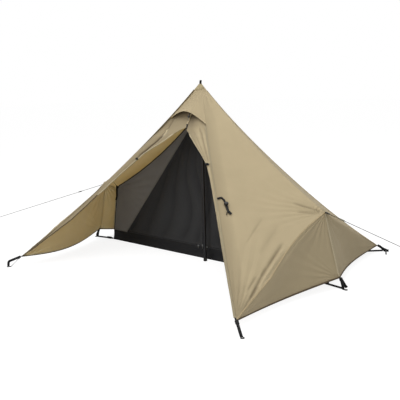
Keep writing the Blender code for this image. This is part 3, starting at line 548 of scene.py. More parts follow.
# Each crease: the shares down and across of its two ends, then its width and its height in millimetres
wall_creases = (((0.774, 0.257), (0.801, 0.117), 8, -4), ((0.936, 0.285), (0.960, 0.145), 11, -11),
                ((0.950, 0.175), (0.987, 0.07), 10, -11), ((0.974, 0.115), (0.999, 0.025), 9, -9),
                ((0.954, 0.27), (0.986, 0.12), 11, 8), ((0.972, 0.29), (0.993, 0.13), 8, -5),
                ((0.942, 0.125), (0.953, 0.06), 8, -6), ((0.835, 0.430), (0.979, 0.491), 7, -10),
                ((0.885, 0.415), (0.975, 0.474), 7, -8), ((0.865, 0.433), (0.977, 0.483), 7, 6),
                ((0.86, 0.31), (0.885, 0.17), 20, -3))
for side, name in side_names.items():
    down, across = rows_and_columns(wall_grid[side], wall_grid[side], 0.85)
    s = wall_top_share + (1 - wall_top_share) * down
    points = side_wall(side, s, across)
    pull, front, rear = pull_out[side], front_corner[side], rear_corner[side]
    height = 2.6 * MM * slow_waves(points, 0.55, 10 + side) * from_edges(s, across, 0.12)
    height += 0.7 * MM * slow_waves(points, 0.13, 20 + side) * from_edges(s, across, 0.06)
    height = add_fans(height, points, unit(np.cross(front - pull, apex - pull)),
                      (pull, side_wall(side, 0.62, 0.2), 0.75, 9, 0.22, 9 * MM, 31),
                      (pull, side_wall(side, 0.62, 0.8), 0.75, 9, 0.2, 6 * MM, 32),
                      (front, side_wall(side, 0.72, 0.16), 0.5, 7, 0.35, 6 * MM, 33),
                      (rear, side_wall(side, 0.72, 0.84), 0.5, 7, 0.35, 5 * MM, 34),
                      (apex, side_wall(side, 0.4, 0.3), 0.8, 9, 0.3, 2.5 * MM, 35))
    if side < 0:
        # Slack cloth bulges a little in front of the left pull out
        away = np.linalg.norm(points - side_wall(side, 0.94, 0.47), axis=-1)
        height += slack_bulge * np.exp(-(away / slack_reach) ** 2)
    lines = sum(crease(points, side_wall(side, *top), side_wall(side, *low), width * MM, depth * MM)
                for top, low, width, depth in wall_creases)
    # Painted shade: creases are painted darker by their depth, and the wall beside the front ridge darker, more so
    # lower down
    ridge_shade = to_share(1 - across * s / 0.06) ** 0.7
    made = cloth("canopy_%s_upper" % name,
                 rounded_seam(side, folded(points, (height + lines) * from_edges(down, across, 0.02))),
                 "wall_%s_upper" % name,
                 folds=np.clip(-lines / crease_full_shade, 0, 0.45) + (0.12 + 0.16 * s) * ridge_shade)
    print(made.name, "points", len(made.data.vertices))

# %% [markdown]
# The rear wall and the four lower panels are quieter. The lower panels hang from one point, the pull out, so
# their long waves run down from it.

# %% Rear wall and lower panels
down, across = rows_and_columns(120, 130, 1.15)
end = 1 - rear_hem_rise_share * np.sin(np.pi * across)
points = rear_wall(wall_top_share + (end - wall_top_share) * down, across)
right, left = rear_corner[1], rear_corner[-1]
height = 3.0 * MM * slow_waves(points, 0.6, 41) + 0.7 * MM * slow_waves(points, 0.14, 42)
height = add_fans(height, points, unit(np.cross(left - right, apex - right)),
                  (right, rear_wall(0.6, 0.35), 0.5, 7, 0.4, 6 * MM, 43),
                  (left, rear_wall(0.6, 0.65), 0.5, 7, 0.4, 6 * MM, 44),
                  (apex, rear_wall(0.5, 0.5), 0.6, 9, 0.3, 3 * MM, 45))
cloth("canopy_rear", folded(points, height * from_edges(down, across, 0.05)), "wall_rear")

for side, name in side_names.items():
    for part, near, far in lower_panels(side):
        down, across = rows_and_columns(90, 110)
        u = 0.02 + 0.98 * down
        points, middle = lower_wall(side, near, far, u, across), lower_wall(side, near, far, 0.6, 0.5)
        height = 1.6 * MM * slow_waves(points, 0.4, 51) + 0.5 * MM * slow_waves(points, 0.12, 52)
        height = add_fans(height, points, unit(np.cross(far - near, pull_out[side] - near)),
                          (pull_out[side], side_hem(side, near, far, 0.5), 1.1, 9, 0.3, 3 * MM, 53),
                          (near, middle, 0.5, 5, 0.25, 4 * MM, 54), (far, middle, 0.5, 5, 0.25, 4 * MM, 55))
        # The panel bellies out beside the seam to the pegged corner, so that seam never looks like a knife edge.
        # On the right the wall has turned over above the front seam already.
        beside_seam = across if part == "front" else 1 - across
        belly, where = (8 * MM, 1.0) if side > 0 and part == "front" else (12 * MM, 0.5)
        height += belly * np.sin(np.pi * beside_seam ** where) * np.sin(np.pi * u)
        # Painted shade: the panel is painted darker towards its side seam, and on the left in a wide valley beside
        # the side fold
        beside_fold = np.linalg.norm(points - blend_points(pull_out[side], side_corner[side], u), axis=-1)
        valley_shade = 0.26 * np.exp(-(beside_fold / ((22 + 34 * u) * MM)) ** 2) * (side < 0)
        cloth("canopy_%s_%s_lower" % (name, part),
              rounded_seam(side, folded(points, height * from_edges(down, across, 0.03)), True),
              "wall_%s_%s_lower" % (name, part), folds=0.09 * beside_seam ** 0.7 + valley_shade)

# %% [markdown]
# ## The front top and its vent hood
#
# The hood's free edge stands off the doors, so that damp air can leave. Its cloth is pulled from the apex, so
# soft pleats run down it and die out at the edge.

# %% Front top
down, across = rows_and_columns(70, 110)
points = hood(down, across)
height = fan(points, apex, hood(1.0, 0.5), front_square, 0.75, 11, 0.25, 2.6 * MM, 61)
height += 0.8 * MM * slow_waves(points, 0.16, 62)
# The whole front top is painted a little darker than the walls: painted shade
cloth("canopy_front_top", folded(points, height * to_share(np.minimum(across, 1 - across) / 0.06)),
      "wall_front_top", folds=np.full(down.shape, 0.13))

# %% [markdown]
# ## The doors
#
# Each door is a triangle of canvas that is gathered towards its ridge and tied halfway down. Across a gathered
# door the cloth goes up and down in pleats, then turns round its free edge and comes back underneath. That
# cross section is swept down the ridge: flat at the top, deep at the tie, and a narrow strip below it.

# %% Door shape
door_rows, door_columns = 220, 130
door_top_share, door_end_share, door_turn_share = 0.115, 0.985, 0.72
door_tuck, ridge_clearance = 4 * MM, 7 * MM
door_thin, door_bulk, door_hem_bulk = 3 * MM, 17 * MM, 7 * MM
# Where each door's free edge lies: shares down the ridge, with shares from the middle out to the ridge
edge_shares = {-1: ((0.0, 0.0), (0.213, 0.0), (0.226, 0.12), (0.242, 0.235), (0.257, 0.29), (0.273, 0.355),
                    (0.289, 0.43), (0.305, 0.51), (0.326, 0.60), (0.365, 0.74), (0.414, 0.79), (0.475, 0.85),
                    (0.528, 0.88), (0.59, 0.91), (0.75, 0.92), (0.86, 0.965), (0.93, 0.975), (1.0, 0.988)),
               1: ((0.0, 0.0), (0.213, 0.08), (0.226, 0.155), (0.242, 0.29), (0.257, 0.38), (0.273, 0.475),
                   (0.289, 0.555), (0.305, 0.628), (0.321, 0.695), (0.336, 0.75), (0.356, 0.82), (0.394, 0.91),
                   (0.447, 0.94), (0.499, 0.952), (0.629, 0.965), (0.752, 0.974), (1.0, 0.988))}
bulk_shares = ((0.0, 0.0), (0.22, 0.05), (0.31, 0.8), (0.39, 1.0), (0.47, 0.7), (0.57, 0.25), (1.0, 0.0))
# Gathered doors are painted darker than the walls, as painted shade: shares down the ridge, with how much
door_shade_shares = {-1: ((0.18, 0.2), (0.22, 0.32), (0.3, 0.4), (0.4, 0.36), (1.0, 0.36)),
                     1: ((0.2, 0.42), (0.26, 0.34), (0.32, 0.15), (0.38, 0.05), (1.0, 0.05))}
tuck_low_share, tuck_run_share, lean_share = 0.265, 0.06, 0.8
ridge_tuck_share, tie_share = {-1: 0.172, 1: 0.2}, {-1: 0.391, 1: 0.396}
# The doors meet this far to the right of the middle, down to where the zip ends
doors_meet, zip_end_share, soft_share = 24 * MM, 0.226, 0.012
# How far the cloth turns back under the door, how full it is there, and how deep a groove gets its full painted shade
back_turn, back_fullness, groove_full_shade = 0.62 * np.pi, 0.85, 18
hood_shade, hood_shade_run = 0.42, 0.075


def read_table(table, at_share):
    places, values = zip(*table)
    return np.interp(at_share, places, values)


def door_frame(side, s):
    """For each share s down the ridge: the door's outer edge, its inner edge, the way across and its swell."""
    tucked = to_share((tuck_low_share - s) / tuck_run_share)
    under_hood = to_share((ridge_tuck_share[side] - s) / soft_share)
    bulk = read_table(bulk_shares, s)
    hem = (door_hem_bulk - door_thin) * to_share(s / 0.5) * np.sqrt(1 - s)
    swell = door_thin + hem + door_bulk * bulk
    at_ridge, middle = front_edge(side, s), front_wall(s, 0.5)
    half = np.linalg.norm(at_ridge - middle, axis=-1)
    level = (at_ridge - middle) / half[:, None]
    outer = half - ridge_clearance * under_hood - 1 * MM
    meet = (1 * MM + side * doors_meet) * to_share((zip_end_share - s) / soft_share)
    inner = half * read_table(edge_shares[side], s)
    inner = np.maximum(meet, inner) if side > 0 else inner + meet
    inner = np.minimum(inner, outer - door_thin)
    base = middle - front_square * ((door_tuck + 2 * swell) * tucked)[:, None]
    drawn_out = (door_tuck + 2 * swell) * (tucked - np.minimum(tucked, under_hood))
    return base, level, half, outer, inner, swell, bulk, drawn_out


def door_points(side, grooves):
    """A gathered door: its front face from the ridge to its free edge, then back underneath."""
    s = np.linspace(door_top_share, door_end_share, door_rows + 1)
    base, level, half, outer, inner, swell, bulk, drawn_out = door_frame(side, s)
    w = np.linspace(0, 1, door_columns + 1)[None, :]
    front_share = to_share(w / door_turn_share)
    back_share = to_share((w - door_turn_share) / (1 - door_turn_share))
    in_front = back_share == 0
    angle = np.pi * front_share + back_turn * back_share
    width = ((outer - inner) / 2)[:, None]
    lean = (door_bulk * bulk * lean_share / 2)[:, None]
    out = swell[:, None] * np.sin(angle) * np.where(in_front, 1.0, back_fullness) + lean * (1 - np.cos(angle))
    folds = np.zeros_like(out)
    for depth, spread, *path in grooves:
        line = read_table(path, s)[:, None]
        fade = to_share(np.minimum(s - path[0][0], path[-1][0] - s) / 0.03)[:, None]
        away = np.abs(front_share - line) * 2 * width / (spread * MM)
        groove = np.exp(-away ** 1.3) * fade * in_front
        out = out - depth * MM * groove
        # A groove is painted darker by its depth: painted shade
        folds = np.maximum(folds, groove ** 0.8 * min(1.0, depth / groove_full_shade))
    place = (outer + inner)[:, None] / 2 + width * np.cos(angle)
    # Along its ridge the door comes out from under the hood at once
    out = out + drawn_out[:, None] * to_share(1 - front_share / 0.5) ** 2 * in_front
    # Right under the hood's edge the cloth is painted darker: painted shade from the hood
    hood_low = hood_end(to_share(0.5 + side * place / (2 * half[:, None])))[0]
    shade = hood_shade * to_share(1 - (s[:, None] - hood_low) / hood_shade_run) ** 1.3
    # Painted shade over the gathered door, from its table
    door_shade = read_table(door_shade_shares[side], s)[:, None]
    if side > 0:
        door_shade = door_shade * to_share((front_share - 0.4) / 0.25)
    points = base[:, None, :] + level[:, None, :] * place[..., None] + front_square * out[..., None]
    return points, np.maximum(folds, shade + door_shade)


# Each groove: its depth and its half width in millimetres, then its path as pairs (share down, share across)
door_grooves = {
    -1: ((12, 8, (0.15, 0.27), (0.194, 0.32), (0.21, 0.34), (0.226, 0.40), (0.242, 0.47), (0.257, 0.51),
          (0.28, 0.56)),
         (17, 11, (0.22, 0.37), (0.242, 0.47), (0.257, 0.51), (0.289, 0.58), (0.321, 0.65), (0.352, 0.73),
          (0.368, 0.79), (0.40, 0.97)),
         (2, 6, (0.27, 0.80), (0.31, 0.80), (0.36, 0.86)),
         (5, 4, (0.38, 0.30), (0.50, 0.42), (0.70, 0.45), (0.95, 0.5))),
    1: ((9, 6, (0.19, 0.16), (0.25, 0.14), (0.32, 0.11), (0.37, 0.12), (0.42, 0.12), (0.5, 0.12), (0.58, 0.15)),
        (7, 8, (0.19, 0.42), (0.25, 0.38), (0.32, 0.38), (0.40, 0.45)),
        (5, 8, (0.22, 0.62), (0.28, 0.60), (0.34, 0.60), (0.40, 0.60)),
        (3, 5, (0.25, 0.82), (0.30, 0.80), (0.36, 0.78), (0.40, 0.74)),
        (3, 3, (0.40, 0.5), (0.50, 0.45), (0.70, 0.45), (0.95, 0.5)))}
first_seed = {-1: 76, 1: 77}
hem_rows, hem_column = slice(34, -4, 3), int(0.95 * door_turn_share * door_columns)
door_hems, tie_rings = {}, {}
for side, name in side_names.items():
    points, folds = door_points(side, door_grooves[side])
    rumple = 0.8 * MM * slow_waves(points, 0.07, first_seed[side])
    rumple = rumple + 1.2 * MM * slow_waves(points, 0.2, first_seed[side] + 1)
    down, across = rows_and_columns(door_rows, door_columns)
    points = points + front_square * (rumple * from_edges(down, across, 0.03))[..., None]
    cloth("outer_door_" + name, points, "door_" + name, outward=front_square, folds=folds, held="gathered",
          rests=["door_tie_" + name])
    door_hems[side] = points[hem_rows, hem_column], surface_normals(points)[hem_rows, hem_column]
    tie_rings[side] = points[int((tie_share[side] - door_top_share) / (door_end_share - door_top_share) * door_rows)]

# %% [markdown]
# ## Strips, tubes and seams
#
# A seam is a strip that lies on the cloth, a hem is a strip folded round its edge, and webbing is a flat band.
# All are one cross section carried along a path, so one sweep makes them all.

# %% Sweep
strip_profile = ((-0.5, -0.2), (-0.5, 0.5), (-0.42, 0.9), (0, 1.0), (0.42, 0.9), (0.5, 0.5), (0.5, -0.2))
tube_sides = 10


def sweep(name, rings, look, body="tent", slot=None, closed_path=False):
    """A closed skin through a stack of rings. The UV map holds metres along and metres around."""
    rings = np.asarray(rings, float)
    count, around = rings.shape[:2]
    index = np.arange(count * around).reshape(count, around)
    ahead = np.roll(index, -1, axis=1)
    faces = np.stack((index[:-1], ahead[:-1], ahead[1:], index[1:]), -1).reshape(-1, 4).tolist()
    if not closed_path:
        faces += [index[0][::-1].tolist(), index[-1].tolist()]
    bm, mesh = bmesh.new(), bpy.data.meshes.new(name)
    mesh.from_pydata(rings.reshape(-1, 3).tolist(), [], faces)
    bm.from_mesh(mesh)
    bmesh.ops.recalc_face_normals(bm, faces=bm.faces)
    bm.to_mesh(mesh)
    bm.free()
    along, girth = (np.concatenate(([0], np.cumsum(np.linalg.norm(np.diff(line, axis=0), axis=1))))
                    for line in (rings.mean(1), rings[0]))
    lay_flat(mesh, np.tile(girth, count), np.repeat(along, around))
    made = finish_piece(name, mesh, body, look, slot=slot)
    mesh.set_sharp_from_angle(angle=math.radians(50))
    return made


def path_frames(points, up):
    """Unit vectors beside a path and square to it. Up is one vector, or one for each point."""
    along = unit(np.gradient(points, axis=0))
    beside = unit(np.cross(along, up))
    return beside, np.cross(beside, along)


def strip(name, points, up, width, height, look="seam_canvas", body="tent", slot=None, shift=0.0):
    """A sewn strip on a path, with its edges rounded over."""
    rings = [[p + b * width * (x + shift) + q * height * y for x, y in strip_profile]
             for p, b, q in zip(points, *path_frames(points, up))]
    return sweep(name, rings, look, body, slot)


def tube(name, points, radius, look="elastic_braid", body="tent", slot=None, up=(0, 0, 1)):
    turn = [2 * math.pi * k / tube_sides for k in range(tube_sides)]
    rings = [[p + b * radius * math.cos(a) + q * radius * math.sin(a) for a in turn]
             for p, b, q in zip(points, *path_frames(points, up))]
    return sweep(name, rings, look, body, slot)


# %% [markdown]
# The canopy's seams are felled: one edge is folded over the other and sewn down twice, so each stands a
# millimetre or two proud and catches light. The hems are bound with a dark tape.

# %% Seams of the canopy
stitch_paths = []
seam_lift = 0.36 * MM


def seam(name, points, normals, width, height, look="seam_canvas", shift=0.0):
    """A felled seam on the cloth, and the two rows of stitches on it."""
    strip(name, points + normals * seam_lift, normals, width, height, look, shift=shift)
    beside, square = path_frames(points, normals)
    for row in (-0.3, 0.3):
        stitch_paths.append(points + beside * width * (shift + row) + square * (height + 0.35 * MM))


def wall_normals(side, s, v, step=0.004):
    """Outward normals of a side's upper wall, from two short steps on it."""
    inner = np.clip(v, step, 1 - step)
    down = side_wall(side, to_share(s + step), inner) - side_wall(side, s - step, inner)
    across = side_wall(side, s, inner + step) - side_wall(side, s, inner - step)
    normals = unit(np.cross(down, across))
    return normals * np.sign((normals * (side_wall(side, s, inner) - tent_middle)).sum(-1, keepdims=True))


steps = np.linspace(0, 1, 90)
for side, name in side_names.items():
    # Beside the hood the front seam lies hidden under the cloth on the side that shows
    # The front seams are a darker canvas: painted shade along the front ridge
    for place, v, start, look in (("front", 0.0, 0.21 if side > 0 else 0.034, "shade_and_wear_canvas"),
                                  ("rear", 1.0, 0.034, "seam_canvas")):
        s = start + (0.99 - start) * steps
        seam("seam_%s_ridge_%s" % (place, name), side_wall(side, s, v), wall_normals(side, s, v), 16 * MM, 1.8 * MM,
             look, shift=(0.5 - v) * side)
    v = 0.004 + 0.492 * steps
    # The right wall turns over above this seam
    raised = turned_over(1 - 2 * v) / np.linalg.norm(pull_out[side] - apex) if side > 0 else 0
    for place, run in (("front", v), ("rear", 1 - v)):
        seam("seam_pull_%s_%s" % (place, name), rounded_seam(side, side_wall(side, 0.999 - raised, run)),
             wall_normals(side, 0.999 - raised, run), 9 * MM, 1.1 * MM)
    line = blend_points(pull_out[side], side_corner[side], 0.02 + 0.97 * steps)
    seam("seam_pull_side_" + name, rounded_seam(side, line, True), unit(at(side, 0, 0.25)),
         (20 if side > 0 else 7) * MM, 1.6 * MM, "rim_canvas")

# %% Hems of the canopy


def hem(name, points, inner, facing):
    """Dark tape round an edge. The inner points lie a little way in on the cloth."""
    out = unit(np.cross(np.gradient(points, axis=0), inner - points))
    strip(name, points, out * np.sign(out @ facing)[:, None], 11 * MM, 2.0 * MM, "hem_tape")


v = 0.004 + 0.992 * steps
for side, name in side_names.items():
    for part, near, far in lower_panels(side):
        points = side_hem(side, near, far, v)
        hem("hem_%s_%s" % (part, name), points, blend_points(points, pull_out[side], 0.02), at(side, 0, 0))
end = 1 - rear_hem_rise_share * np.sin(np.pi * v)
hem("hem_rear", rear_wall(end, v), rear_wall(end - 0.01, v), at(0, 1, 0))
strip("hem_hood", hood(1.0, v), front_square, 10 * MM, 2.6 * MM, "canvas")
for side, name in side_names.items():
    line, out = door_hems[side]
    # Below the tie the rolled hem shows its worn inner face
    strip("door_hem_" + name, line[:30], out[:30], 9 * MM, 2.0 * MM, "rim_canvas")
    strip("door_roll_" + name, line[29:], out[29:], 8 * MM, 2.0 * MM, "hem_tape" if side < 0 else "shade_and_wear_canvas")
    stitch_paths.append(line + out * 1.5 * MM)
stitch_paths.append(hood(0.965, v) + front_square * 1.2 * MM)
# Above the opening the doors are zipped together, under a flap
s = np.linspace(0.13, 0.212, 24)
right_of_middle = doors_meet / np.linalg.norm(front_edge(1, s) - front_edge(-1, s), axis=-1)
strip("zip_flap", front_wall(s, 0.5 + right_of_middle) - front_square * 5.5 * MM, front_square, 12 * MM, 1.2 * MM,
      "canvas")

# %% [markdown]
# ## The apex
#
# Five walls meet here and all of the pull goes through it, so a cone of doubled canvas is sewn over them, with
# a short webbing loop on top to hang the tent by.

# %% Apex cone
cone_push = 1.6 * MM


def cone_ring(s, count=64):
    corners = np.array((front_edge(1, s), pull_edge(1, s), rear_edge(1, s), rear_wall(s, 0.5), rear_edge(-1, s),
                        pull_edge(-1, s), front_edge(-1, s), front_wall(s, 0.5)))
    place = np.arange(count) * len(corners) / count
    first = place.astype(int)
    ring = blend_points(corners[first], corners[(first + 1) % len(corners)], place - first)
    # A little of the round is blended in, because doubled cloth doesn't turn a sharp corner
    middle = ring.mean(0)
    radius = np.linalg.norm(ring[:, :2] - middle[:2], axis=1)
    level = unit((ring - middle) * at(1, 1, 0))
    return ring + level * (cone_push + 0.15 * (radius.mean() - radius))[:, None]


def box_of(node):
    return (np.array(corner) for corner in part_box(node))


rings = [cone_ring(s) for s in (0.008, 0.012, 0.016, 0.020, 0.024, 0.028, 0.032, 0.036)]
rings[0][:, 2] = rings[0][:, 2].mean()
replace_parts(sweep("apex_cone", rings, "cone_canvas"), "apex_cap")
for stitch_level in (0.0315, 0.034):
    ring = cone_ring(stitch_level)
    ring = ring + unit(ring - ring.mean(0)) * 0.8 * MM
    stitch_paths.append(np.concatenate((ring, ring[:1])))

low, high = box_of("apex_tab")
turn = np.linspace(0, np.pi, 25)
rise = (high[2] - low[2] - 1.2 * MM) * np.sin(turn) ** 0.55
loop_base = (low + high) / 2 * at(1, 1, 0) + at(0, 0, low[2])
loop_path = loop_base + np.stack((0.12 * rise, -2.2 * MM * np.cos(turn), rise), -1)
loop_out = np.stack((0 * turn, -np.cos(turn), np.sin(turn)), -1)
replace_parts(strip("apex_loop", loop_path, loop_out, 19 * MM, 1.6 * MM, "webbing"), "apex_tab")

# %% [markdown]
# ## Stitches, with Geometry Nodes
#
# A lockstitch is one short stroke of thread, over and over, along a seam. That is a job for Geometry Nodes:
# the seams' paths go in as bare edges, the tree resamples them at the stitch pitch, puts a small rod on each
# point along the path, and makes it all real mesh. A zip's teeth are set in the same way.

# %% Trees that set small parts along a path


def row_tree(name, sizes, small_part):
    """A tree that sets copies of a small part along a path. Its sizes are further inputs, as name and kind."""
    tree = bpy.data.node_groups.new(name, "GeometryNodeTree")
    for label, kind in (("Geometry", "Geometry"), ("Pitch", "Float"), *sizes, ("Material", "Material")):
        tree.interface.new_socket(name=label, in_out="INPUT", socket_type="NodeSocket" + kind)
    tree.interface.new_socket(name="Geometry", in_out="OUTPUT", socket_type="NodeSocketGeometry")
    given = tree.nodes.new("NodeGroupInput").outputs
    line = add_node(tree, "GeometryNodeMeshToCurve", {"Mesh": given["Geometry"]})
    spaced = add_node(tree, "GeometryNodeResampleCurve", {"Curve": line.outputs["Curve"], "Length": given["Pitch"]},
                      mode="LENGTH")
    tangent = add_node(tree, "GeometryNodeInputTangent").outputs["Tangent"]
    part, turned = small_part(tree, given, tangent)
    placed = add_node(tree, "GeometryNodeInstanceOnPoints", {"Points": spaced.outputs["Curve"], "Instance": part,
                                                             "Rotation": turned.outputs["Rotation"]})
    real = add_node(tree, "GeometryNodeRealizeInstances", {"Geometry": placed.outputs["Instances"]})
    coloured = add_node(tree, "GeometryNodeSetMaterial",
                        {"Geometry": real.outputs["Geometry"], "Material": given["Material"]})
    add_node(tree, "NodeGroupOutput", {"Geometry": coloured.outputs["Geometry"]})
    return tree


def thread_rod(tree, given, tangent):
    rod = add_node(tree, "GeometryNodeMeshCylinder",
                   {"Vertices": 5, "Radius": given["Radius"], "Depth": given["Length"]})
    return rod.outputs["Mesh"], add_node(tree, "FunctionNodeAlignRotationToVector", {"Vector": tangent}, axis="Z")


def zip_tooth(tree, given, tangent):
    tooth = add_node(tree, "GeometryNodeMeshCube", {"Size": given["Tooth"]})
    along = add_node(tree, "FunctionNodeAlignRotationToVector", {"Vector": tangent}, axis="X")
    return tooth.outputs["Mesh"], add_node(tree, "FunctionNodeAlignRotationToVector",
                                           {"Rotation": along.outputs["Rotation"], "Vector": given["Face"]},
                                           axis="Z", pivot_axis="X")


def grown(name, paths, tree, sizes, look, body="tent"):
    """Run a tree on bare paths, keep the result as a plain mesh, and drop the modifier."""
    mesh = bpy.data.meshes.new(name + "_path")
    starts = np.cumsum([0] + [len(path) for path in paths])
    edges = [(k, k + 1) for first, last in zip(starts, starts[1:]) for k in range(first, last - 1)]
    mesh.from_pydata(np.concatenate(paths).tolist(), edges, [])
    carrier = add_object(name + "_path", mesh)
    modifier = with_settings(carrier.modifiers.new("grow", "NODES"), node_group=tree)
    for item in tree.interface.items_tree:
        if item.in_out == "INPUT" and item.name != "Geometry":
            modifier[item.identifier] = finishes[look] if item.name == "Material" else sizes[item.name]
    bpy.context.view_layer.update()
    result = bpy.data.meshes.new_from_object(carrier.evaluated_get(bpy.context.evaluated_depsgraph_get()))
    bpy.data.objects.remove(carrier)
    result.name = name
    print(name, "faces", len(result.polygons))
    return new_piece(name, result, body)


stitches = row_tree("stitch_row", (("Length", "Float"), ("Radius", "Float")), thread_rod)
teeth = row_tree("zip_teeth", (("Tooth", "Vector"), ("Face", "Vector")), zip_tooth)
grown("canopy_stitches", stitch_paths, stitches, {"Pitch": 5.0 * MM, "Length": 3.4 * MM, "Radius": 0.35 * MM},
      "thread")

# %% [markdown]
# ## Hard parts from their solids
#
# A moulded part has the right size already, but its edges are knife sharp. A copy of the solid is merged, its
# flat faces are joined up again, and a Bevel modifier rounds the edges that are left.

# %% Rounded copies of solids


def rounded(node, name, width, look, body="tent"):
    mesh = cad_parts[node].data.copy()
    bm = bmesh.new()
    bm.from_mesh(mesh)
    bmesh.ops.remove_doubles(bm, verts=bm.verts, dist=0.01 * MM)
    bmesh.ops.dissolve_limit(bm, angle_limit=math.radians(2), verts=bm.verts, edges=bm.edges)
    bm.to_mesh(mesh)
    bm.free()
    mesh.materials.clear()
    made = finish_piece(name, mesh, body, look)
    sharp = math.radians(35)
    with_settings(made.modifiers.new("round", "BEVEL"), width=width, segments=2, limit_method="ANGLE",
                  angle_limit=sharp)
    mesh.set_sharp_from_angle(angle=sharp)
    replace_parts(made, node)
    return made


# %% [markdown]
# ## Corner webbing
#
# At each corner a strap runs through a ladder lock down to its peg eyelet. It is one band: down from the lock,
# level along the ground, and round the eyelet. A second band lies on it and ends in a loose tail, as the
# strap does after it has been pulled tight.

# %% Corner straps
strap_width, strap_thickness = 20 * MM, 2.4 * MM
eyelet_radius, eyelet_hole, eyelet_flat = 14 * MM, 6 * MM, 10 * MM
lock_length, touch_gap = 26 * MM, 0.3 * MM
flat_up = at(0, 0, 1)
# Each end: where its corners and its pegs are, and its loose tails, left and right: how far each runs, how
# thick it lies and how far it drifts to one side, in millimetres
strap_ends = {"front": (front_corner, both_sides(1212, -1102, 0), {-1: (128, 7, 5), 1: (122, 4, -9)}),
              "side": (side_corner, both_sides(1351, 0, 0), {-1: (90, 9, 10), 1: (96, 11, -14)}),
              "rear": (rear_corner, both_sides(1212, 1102, 0), {-1: (90, 3, 12), 1: (125, 11, -22)})}
spare_ends = {"side_right": ((-10, 8, 26), (0, 14, 14)), "rear_right": ((-20, -16, 22), (4, -12, 14), (42, -104, 11))}


def rounded_turn(points, count=8):
    """A path with its corners softened: each straight run is cut in shares and smoothed three times."""
    path = np.concatenate([blend_points(a, b, np.linspace(0, 1, count, endpoint=False))
                           for a, b in zip(points, points[1:])] + [points[-1:]])
    for _ in range(3):
        path[1:-1] = (path[:-2] + 2 * path[1:-1] + path[2:]) / 4
    return path


def eyelet(name, middle, radius, hole, thickness, look, count=40):
    """A flat ring on the ground: outer wall, top, hole wall and underside, with rounded rims."""
    rim = 0.8 * MM
    section = ((radius, 0.1), (radius, 0.8), (radius - rim, 1.0), (hole + rim, 1.0), (hole, 0.8),
               (hole, 0.2), (hole + rim, 0.0), (radius - rim, 0.0))
    rings = [[middle + at(r * math.cos(a), r * math.sin(a), thickness * h) for r, h in section]
             for a in (2 * math.pi * k / count for k in range(count + 1))]
    sweep(name, rings, look, closed_path=True)


for end, (corners, pegs, tails) in strap_ends.items():
    for side, name in side_names.items():
        place, corner, peg = end + "_" + name, corners[side], pegs[side]
        level = unit(at(*(peg - corner)[:2], 0))
        landing = (peg - level * (eyelet_radius + eyelet_flat)) * at(1, 1, 0) + flat_up * strap_thickness
        down, beside = unit(landing - corner), at(-level[1], level[0], 0)
        square = unit(np.cross(beside, down))
        square = square * (1 if square[2] > 0 else -1)
        top = corner + down * (lock_length + 2 * touch_gap) + square * strap_thickness / 2
        path = rounded_turn(np.array((top, landing - flat_up * strap_thickness / 2,
                                      peg - level * eyelet_hole * 1.6 + flat_up * strap_thickness / 2)), 10)
        up = np.array([square] * 10 + [flat_up] * (len(path) - 10))
        band = strip("strap_band_" + place, path, up, strap_width, strap_thickness, "webbing")
        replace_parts(band, "strap_" + place)
        eyelet("eyelet_web_" + place, peg, eyelet_radius, eyelet_hole, strap_thickness, "webbing")
        eyelet("eyelet_ring_" + place, peg + flat_up * strap_thickness * 0.55, eyelet_hole + 3.4 * MM,
               eyelet_hole - 0.3 * MM, strap_thickness * 0.9, "black_plastic")
        # The loose tail comes out of the lock and lies off to one side, and twists until it stands on its edge
        run, bulk, drift = (size * MM for size in tails[side])
        out = square * 6 * MM
        tail = rounded_turn(np.array((corner + down * 6 * MM + out * 0.6, corner + down * 24 * MM + out,
                                      corner + down * run * 0.6 + out * 1.6 + beside * drift * 0.4,
                                      corner + down * run + out * 0.9 + beside * drift)))
        share = np.linspace(0, 1, len(tail))
        tail[:, 2] = np.maximum(tail[:, 2], (4 + 7.5 * share) * MM)
        facing = unit(square * (1 - share)[:, None] + beside * share[:, None])
        if place == "front_left":
            # This one is pulled straight to its peg, and its end is knotted there
            knot = peg + at(6, 4, 0) * MM
            tail = rounded_turn(np.array((tail[0], knot + at(0, 0, 48) * MM, knot + at(-6, -4, 9) * MM)), 12)
            facing = beside
        strip("strap_tail_" + place, tail, facing, strap_width, bulk, "webbing")
        if place in spare_ends:
            # The spare end is looped back over the peg and lies beside it
            line = rounded_turn(np.array([tail[0], *(peg + np.array(spare_ends[place]) * MM)]), 10)
            strip("strap_end_" + place, line, beside, strap_width, 9 * MM, "webbing")
        rounded("lock_" + place, "ladder_lock_" + place, 1.0 * MM, "black_plastic")
        # A short loop of webbing joins the lock to the canopy's corner
        inner = unit(tent_middle - corner)
        anchor = rounded_turn(np.array((corner + inner * 42 * MM + at(0, 0, 5) * MM,
                                        corner + inner * 12 * MM + square * 3 * MM,
                                        corner + down * 9 * MM + square * 3.4 * MM)))
        strip("corner_loop_" + place, anchor, square, strap_width * 0.95, 2.0 * MM, "webbing")

# %% [markdown]
# ## Guy lines
#
# A webbing tab on each side pull out holds the guy line, which runs straight and tight to the ground, through
# its tensioner. The line is one spline of its whole length. Its end is a knotted loop for a peg, out of view.

